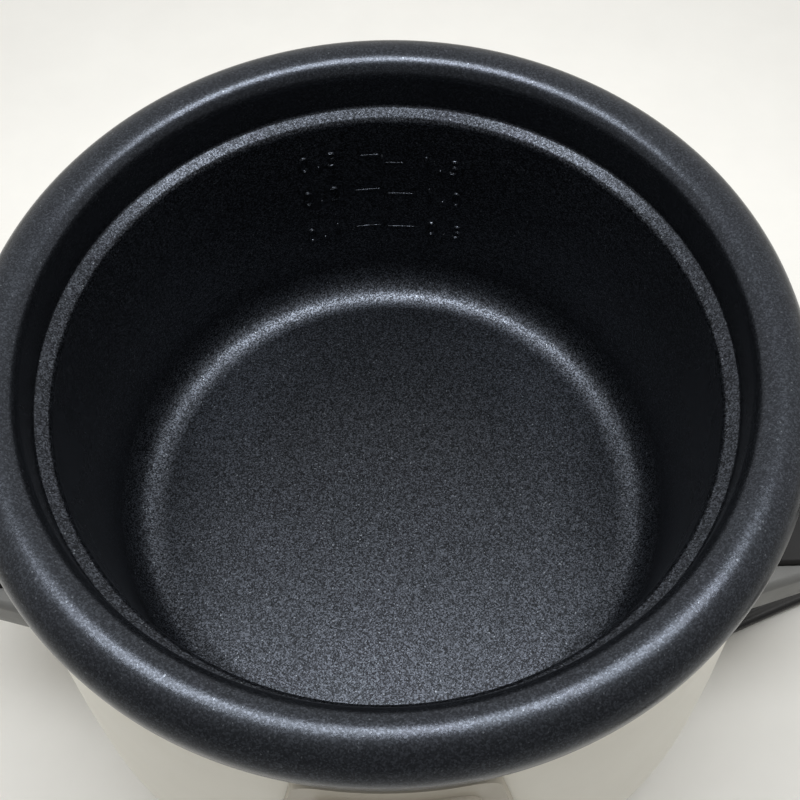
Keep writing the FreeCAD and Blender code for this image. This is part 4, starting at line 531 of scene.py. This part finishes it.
def rounded_outline(corners):
    """Radii and heights along a line of corners, with each corner rounded."""
    points = []
    for index, (radius, height, rounding) in enumerate(corners):
        corner = Vector((radius, height))
        if rounding == 0.0:
            points.append(corner)
            continue
        before = (Vector(corners[index - 1][:2]) - corner).normalized()
        after = (Vector(corners[index + 1][:2]) - corner).normalized()
        half = before.angle(after) / 2
        reach = rounding / math.tan(half)
        middle = corner + (before + after).normalized() * (rounding / math.sin(half))
        start = corner + before * reach - middle
        stop = corner + after * reach - middle
        first = math.atan2(start.y, start.x)
        sweep = math.remainder(math.atan2(stop.y, stop.x) - first, math.tau)
        points.append(corner + before * (reach + EASE))
        for step in range(ROUND_STEPS + 1):
            angle = first + sweep * step / ROUND_STEPS
            points.append(middle + rounding * Vector((math.cos(angle), math.sin(angle))))
        points.append(corner + after * (reach + EASE))
    return points


COAT_DARK = (0.0090, 0.0100, 0.0120, 1.0)
COAT_LIGHT = (0.104, 0.116, 0.140, 1.0)
FLAKE_GREY = (0.25, 0.275, 0.31, 1.0)
GRAINS_PER_METRE = 4000.0
GRAIN_POWER = 2.0            # of the draw for each grain, so that few are light
GRAIN_MEAN = 0.333           # of the draws after that power
RARE_FLAKES = 0.992          # only draws above this make a flake
FLOOR_HEIGHTS = {"From Min": 0.0415, "From Max": 0.0425}     # from the floor to the round above it
FLOOR_PAINTED_SHADE = 0.42        # tone of the coat on the floor, darkened as painted shade that dims the lamp's reflection there, beside 1.0 on the round
LOW_HEIGHTS = {"From Min": 0.052, "From Max": 0.080}         # from low in the pot to its wall
LOW_PAINTED_LIGHT = 0.40              # painted light, added to the tone low in the pot so its bottom round reflects brighter
LOW_ROUGHNESS = 0.08         # added to the roughness there
LIP_HEIGHTS = {"From Min": 0.100, "From Max": 0.104}         # from the wall to the lip
LIP_SPECKLE = 0.42           # contrast of the grains on the lip, beside 1.0 below it
COAT_METAL = 0.88
COAT_SMOOTHEST, COAT_ROUGHEST = 0.25, 0.30
non_stick, tree, shader = new_finish("non-stick coat")
place = add_node(tree, "ShaderNodeTexCoord")
cells = add_node(tree, "ShaderNodeTexVoronoi", {"Scale": GRAINS_PER_METRE, "Randomness": 1.0})
luck = add_node(tree, "ShaderNodeSeparateColor")
shine = add_node(tree, "ShaderNodeMath", {1: GRAIN_POWER}, operation="POWER")
crisp = add_node(tree, "ShaderNodeMapRange", {**LIP_HEIGHTS, "To Min": 1.0, "To Max": LIP_SPECKLE})
mild = add_node(tree, "ShaderNodeMix", {2: GRAIN_MEAN}, data_type="FLOAT")
grains = add_node(tree, "ShaderNodeMix", {6: COAT_DARK, 7: COAT_LIGHT}, data_type="RGBA")
rare = add_node(tree, "ShaderNodeMapRange", {"From Min": RARE_FLAKES, "From Max": 1.0})
flakes = add_node(tree, "ShaderNodeMix", {7: FLAKE_GREY}, data_type="RGBA")
parts_of = add_node(tree, "ShaderNodeSeparateXYZ")
# Painted shade: the coat's tone is darkened on the floor of the pot.
level = add_node(tree, "ShaderNodeMapRange", {**FLOOR_HEIGHTS, "To Min": FLOOR_PAINTED_SHADE})
low_down = add_node(tree, "ShaderNodeMapRange", {**LOW_HEIGHTS, "To Min": 1.0, "To Max": 0.0})
# Painted light: the coat's tone is lightened low in the pot, fading out up the wall.
painted_light_gain = add_node(tree, "ShaderNodeMath", {1: LOW_PAINTED_LIGHT, 2: 1.0}, operation="MULTIPLY_ADD")
brightness = add_node(tree, "ShaderNodeMath", operation="MULTIPLY")
dulling = add_node(tree, "ShaderNodeMath", {1: LOW_ROUGHNESS}, operation="MULTIPLY_ADD")
tone = add_node(tree, "ShaderNodeHueSaturation")
pebbles = add_node(tree, "ShaderNodeTexNoise", {"Scale": 1900.0, "Detail": 2.0, "Roughness": 0.55})
wear = add_node(tree, "ShaderNodeTexNoise", {"Scale": 55.0, "Detail": 4.0})
bump = add_node(tree, "ShaderNodeBump", {"Strength": 1.0, "Distance": 0.00002})
for texture in (cells, pebbles, wear):
    tree.links.new(place.outputs["Object"], texture.inputs["Vector"])
tree.links.new(cells.outputs["Color"], luck.inputs["Color"])
tree.links.new(luck.outputs["Red"], shine.inputs[0])
tree.links.new(parts_of.outputs["Z"], crisp.inputs["Value"])
tree.links.new(crisp.outputs["Result"], mild.inputs[0])
tree.links.new(shine.outputs["Value"], mild.inputs[3])
tree.links.new(mild.outputs[0], grains.inputs[0])
tree.links.new(luck.outputs["Green"], rare.inputs["Value"])
tree.links.new(crisp.outputs["Result"], rare.inputs["To Max"])
tree.links.new(rare.outputs["Result"], flakes.inputs[0])
tree.links.new(grains.outputs[2], flakes.inputs[6])
tree.links.new(place.outputs["Object"], parts_of.inputs["Vector"])
tree.links.new(parts_of.outputs["Z"], level.inputs["Value"])
tree.links.new(parts_of.outputs["Z"], low_down.inputs["Value"])
tree.links.new(low_down.outputs["Result"], painted_light_gain.inputs[0])
tree.links.new(level.outputs["Result"], brightness.inputs[0])
tree.links.new(painted_light_gain.outputs["Value"], brightness.inputs[1])
tree.links.new(brightness.outputs["Value"], tone.inputs["Value"])
tree.links.new(flakes.outputs[2], tone.inputs["Color"])
tree.links.new(tone.outputs["Color"], shader.inputs["Base Color"])
shader.inputs["Metallic"].default_value = COAT_METAL
tree.links.new(low_down.outputs["Result"], dulling.inputs[0])
tree.links.new(spread(tree, wear.outputs["Fac"], COAT_SMOOTHEST, COAT_ROUGHEST), dulling.inputs[2])
tree.links.new(dulling.outputs["Value"], shader.inputs["Roughness"])
tree.links.new(pebbles.outputs["Fac"], bump.inputs["Height"])
tree.links.new(bump.outputs["Normal"], shader.inputs["Normal"])

pot_mesh = turned_mesh("cooking_pot", rounded_outline(POT_OUTLINE), POT_STEPS, True)
cooking_pot = new_piece("cooking_pot", pot_mesh, non_stick)
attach(cooking_pot, "pot")
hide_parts("inner_pot")

# Measuring marks.
# Raised on the rear wall of the pot and coated with it: plain figures and lines either side of one
# upright line, for litres on the left and cups on the right.
WALL_FOOT_RADIUS, WALL_FOOT = 0.0625, 0.0415
WALL_TOP_RADIUS, WALL_TOP = 0.0637, 0.1005
FIGURE_RISE, LINE_RISE = 0.00046, 0.00015
FIGURE_HEIGHT, FIGURE_NARROWING = 0.0046, 0.82
FIGURE_PITCH = 0.0033
FIGURE_EDGE = 0.00034        # round of the edges of a figure
FIGURE_SHARE = 0.70          # height of a figure as a share of its text size
LINE_WIDTH, LINE_START = 0.0006, 0.0006
LINE_STEPS = 10
BACK_ANGLES = range(-20, 201, 20)            # of the points across the round back of a line, in degrees
UPRIGHT_FOOT, UPRIGHT_TOP, UPRIGHT_WIDTH = 0.0646, 0.0898, 0.0005
CUP_MARKS = (                # figures, height, middle of the figures and reach of the line
    ("1.5", 0.0870, 0.0136, 0.0051),
    ("1.0", 0.0765, 0.0144, 0.0076),
    ("0.5", 0.0644, 0.0150, 0.0077))
LITRE_MARKS = (
    ("0.3", 0.0897, -0.0149, 0.0051),
    ("0.2", 0.0782, -0.0149, 0.0068),
    ("0.1", 0.0650, -0.0150, 0.0074))


def on_wall(across, up, proud):
    """A place on the rear wall: across from its middle, up from the table and proud of the wall."""
    share = (up - WALL_FOOT) / (WALL_TOP - WALL_FOOT)
    radius = WALL_FOOT_RADIUS + (WALL_TOP_RADIUS - WALL_FOOT_RADIUS) * share
    angle = across / radius
    return Vector(((radius - proud) * math.sin(angle), (radius - proud) * math.cos(angle), up))


def skin(work, rows):
    """Faces between closed rows of points, and one over each end."""
    for row, after in zip(rows, rows[1:]):
        for index in range(len(row)):
            nearby = (index + 1) % len(row)
            work.faces.new((row[index], row[nearby], after[nearby], after[index]))
    work.faces.new(rows[0])
    work.faces.new(rows[-1])


def raised_line(work, start, end, width):
    """A raised bar on the wall from one place to another, with a round back."""
    along = (Vector(end) - Vector(start)).normalized()
    side = Vector((-along.y, along.x))
    rows = []
    for step in range(LINE_STEPS + 1):
        spot = Vector(start).lerp(Vector(end), step / LINE_STEPS)
        row = []
        for angle in BACK_ANGLES:
            at = spot + side * (0.5 * width * math.cos(math.radians(angle)))
            row.append(work.verts.new(on_wall(at.x, at.y, LINE_RISE * math.sin(math.radians(angle)))))
        rows.append(row)
    skin(work, rows)


def figure(work, character, across, up):
    """A raised figure on the wall, set about a place."""
    text = bpy.data.curves.new("figure", "FONT")
    text.body = character
    text.size = FIGURE_HEIGHT / FIGURE_SHARE
    text.align_x = "CENTER"
    text.align_y = "CENTER"
    text.offset = -FIGURE_EDGE
    text.extrude = FIGURE_RISE - FIGURE_EDGE
    text.bevel_depth = FIGURE_EDGE
    text.bevel_resolution = 2
    text.resolution_u = 6
    holder = bpy.data.objects.new("figure", text)
    scene.collection.objects.link(holder)
    bpy.context.view_layer.update()
    flat = plain_mesh(holder)
    bpy.data.objects.remove(holder)
    first = len(work.verts)
    work.from_mesh(flat)
    work.verts.ensure_lookup_table()
    for vert in work.verts[first:]:
        vert.co = on_wall(across + FIGURE_NARROWING * vert.co.x, up + vert.co.y, vert.co.z)
    bpy.data.meshes.remove(flat)


work = bmesh.new()
raised_line(work, (0.0, UPRIGHT_FOOT), (0.0, UPRIGHT_TOP), UPRIGHT_WIDTH)
for side, marks in ((1, CUP_MARKS), (-1, LITRE_MARKS)):
    for characters, up, across, reach in marks:
        raised_line(work, (side * LINE_START, up), (side * reach, up), LINE_WIDTH)
        for index, character in enumerate(characters):
            figure(work, character, across + (index - 1) * FIGURE_PITCH, up)
measuring_marks = new_piece("measuring_marks", finished_mesh("measuring_marks", work, True), non_stick)
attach(measuring_marks, "pot")

# Mains lead.
# Flat two-core lead in soft black plastic, 6.2 mm wide, about a metre long. It leaves a strain relief
# under the base at the right, and the length that isn't used is wound up and tied.
CORD_WIDTH, CORD_THICKNESS = 0.0062, 0.0031
CORD_HEIGHT = 0.00205
CORD_RUN = ((0.0640, -0.0314), (0.0975, -0.0177), (0.1330, -0.0052), (0.1680, 0.0028))
COIL_RADIUS, COIL_STEP = 0.0380, 0.0034
COIL_HALF_TURNS = 4
COIL_LAYER = 0.0039
COIL_POINTS = 8              # of the spline on each half turn
LOBE_ANGLES = range(-125, 126, 25)           # of the points round each core, in degrees
GROOVE = 0.58                # half the thickness between the cores, as a share of a core's radius
TAIL_RUNS = (                # length, turn in degrees, and share of the climb to the plug
    (0.016, 0.0, 0.0), (0.016, 12.0, 0.4), (0.016, 24.0, 1.0), (0.012, 34.0, 1.0))
PLUG_HEIGHT = 0.0072

route = [Vector((x, y, CORD_HEIGHT)) for x, y in CORD_RUN]
heading = (route[-1] - route[-2]).normalized()
spot = route[-1] + heading * CORD_WIDTH
inward = [COIL_RADIUS - COIL_STEP * index for index in range(COIL_HALF_TURNS)]
half_turns = [(radius, 0.0) for radius in inward]
half_turns += [(COIL_RADIUS - COIL_STEP * COIL_HALF_TURNS, COIL_LAYER)]
half_turns += [(radius, 0.0) for radius in reversed(inward)]
step = math.pi / COIL_POINTS
for radius, climb in half_turns:
    right = Vector((heading.y, -heading.x, 0.0))
    middle = spot + right * radius
    for index in range(COIL_POINTS):
        angle = (index + 0.5) * step
        point = middle + (heading * math.sin(angle) - right * math.cos(angle)) * (radius / math.cos(step / 2))
        point.z += climb * (index + 0.5) / COIL_POINTS
        route.append(point)
    spot = spot + right * (2 * radius)
    spot.z += climb
    heading = -heading
spot = spot + heading * CORD_WIDTH
route.append(spot)
tail_climb = PLUG_HEIGHT - spot.z
for length, turn, share in TAIL_RUNS:
    course = Matrix.Rotation(math.radians(turn), 3, "Z") @ heading
    after = route[-1] + course * length
    after.z = spot.z + tail_climb * share
    route.append(after)

line = bpy.data.curves.new("lead_route", "CURVE")
line.dimensions = "3D"
line.resolution_u = 6
spline = line.splines.new("NURBS")
spline.points.add(len(route) - 1)
for point, place in zip(spline.points, route):
    point.co = (*place, 1.0)
spline.order_u = 3
spline.use_endpoint_u = True
holder = bpy.data.objects.new("lead_route", line)
scene.collection.objects.link(holder)
bpy.context.view_layer.update()
drawn = plain_mesh(holder)
lead_path = [vert.co.copy() for vert in drawn.vertices]
bpy.data.objects.remove(holder)
bpy.data.meshes.remove(drawn)

core = CORD_THICKNESS / 2
lobe = [math.radians(angle) for angle in LOBE_ANGLES]
section = [(core + core * math.cos(angle), core * math.sin(angle)) for angle in lobe]
section.append((0.0, GROOVE * core))
section += [(-core - core * math.cos(angle), core * math.sin(angle)) for angle in reversed(lobe)]
section.append((0.0, -GROOVE * core))
work = bmesh.new()
rings = []
for index, place in enumerate(lead_path):
    before = lead_path[max(index - 1, 0)]
    after = lead_path[min(index + 1, len(lead_path) - 1)]
    along = (after - before).normalized()
    across = Vector((-along.y, along.x, 0.0)).normalized()
    upright = along.cross(across)
    rings.append([work.verts.new(place + across * x + upright * z) for x, z in section])
skin(work, rings)
lead_plastic = grained("black lead plastic", colour=(0.010, 0.010, 0.011), darkest=0.80,
                       smoothest=0.24, roughest=0.32, grains=1200.0, depth=0.00003)
mains_lead = new_piece("mains_lead", finished_mesh("mains_lead", work, True), lead_plastic)
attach(mains_lead, "cooker")
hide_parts("cord_run", "cord_coil", "cord_tail")
coat(lead_plastic, "cord_gland")

# Plug and tie.
# The plug is moulded on the lead in the same soft plastic. The tie is a strip of it, bent round the
# coil.
coat(grained("black plug plastic", colour=(0.022, 0.022, 0.023), darkest=0.82,
             smoothest=0.38, roughest=0.52, grains=1800.0, depth=0.00005),
     "plug_body", "cord_tie")

# Floor.
# A plain pale table top.
TABLE_REACH = 4.0            # from the middle
floor_mesh = bpy.data.meshes.new("table_top")
corners = [(TABLE_REACH * x, TABLE_REACH * y, 0) for x, y in ((-1, -1), (1, -1), (1, 1), (-1, 1))]
floor_mesh.from_pydata(corners, [], [(0, 1, 2, 3)])
table_paint = grained("pale table", colour=(0.80, 0.79, 0.755), darkest=0.97,
                      smoothest=0.55, roughest=0.65, grains=300.0, depth=0.00002)
floor = new_piece("table_top", floor_mesh, table_paint)

# Light.
# A strip lamp close above the cooker, turned a little to the rear, in a pale room that is bright behind
# the cooker and dim in front of it.
lamp = bpy.data.lights.new("overhead", "AREA")
lamp.shape = "RECTANGLE"
lamp.size = 0.40
lamp.size_y = 0.10
lamp.spread = math.radians(120.0)
lamp.energy = 0.72
lamp.color = (0.97, 0.985, 1.0)
overhead = bpy.data.objects.new("overhead", lamp)
overhead.location = (0.0, 0.005, 0.42)
overhead.rotation_euler.x = math.radians(14.0)
overhead.visible_camera = False
scene.collection.objects.link(overhead)

DIM_FRONT, BRIGHT_REAR = 0.25, 0.84
DIM_TO, BRIGHT_FROM = -0.70, 0.30            # Y of the directions between which the room grows brighter
world = bpy.data.worlds.new("room")
world.use_nodes = True
tree = world.node_tree
sky = tree.nodes["Background"]
place = add_node(tree, "ShaderNodeTexCoord")
parts_of = add_node(tree, "ShaderNodeSeparateXYZ")
depth = add_node(tree, "ShaderNodeMapRange", {
    "From Min": DIM_TO, "From Max": BRIGHT_FROM, "To Min": DIM_FRONT, "To Max": BRIGHT_REAR},
    interpolation_type="SMOOTHSTEP")
tree.links.new(place.outputs["Generated"], parts_of.inputs["Vector"])
tree.links.new(parts_of.outputs["Y"], depth.inputs["Value"])
tree.links.new(depth.outputs["Result"], sky.inputs["Strength"])
sky.inputs["Color"].default_value = (1.0, 0.985, 0.955, 1.0)
scene.world = world
scene.view_settings.view_transform = "Standard"

# Camera.
# Above and in front of the pot, looking steeply down into it.
EYE = Vector((0.0, -0.10436, 0.27261))
GAZE = Vector((0.01163, 0.49040, -0.87142))
TILT = math.radians(1.19)
TURN = math.radians(0.9)
SENSOR = 36.0
FOCAL_PIXELS, PICTURE_PIXELS = 1050, 800
lens = bpy.data.cameras.new("camera")
lens.sensor_width = SENSOR
lens.lens = SENSOR * FOCAL_PIXELS / PICTURE_PIXELS
lens.clip_start = 0.01
camera = bpy.data.objects.new("camera", lens)
across = GAZE.cross(Vector((0, 0, 1))).normalized()
upward = across.cross(GAZE)
facing = Matrix((across, upward, -GAZE)).transposed().to_4x4()
camera.matrix_world = (Matrix.Rotation(TURN, 4, "Z") @ Matrix.Translation(EYE) @ facing
                       @ Matrix.Rotation(-TILT, 4, "Z"))
scene.collection.objects.link(camera)
scene.camera = camera
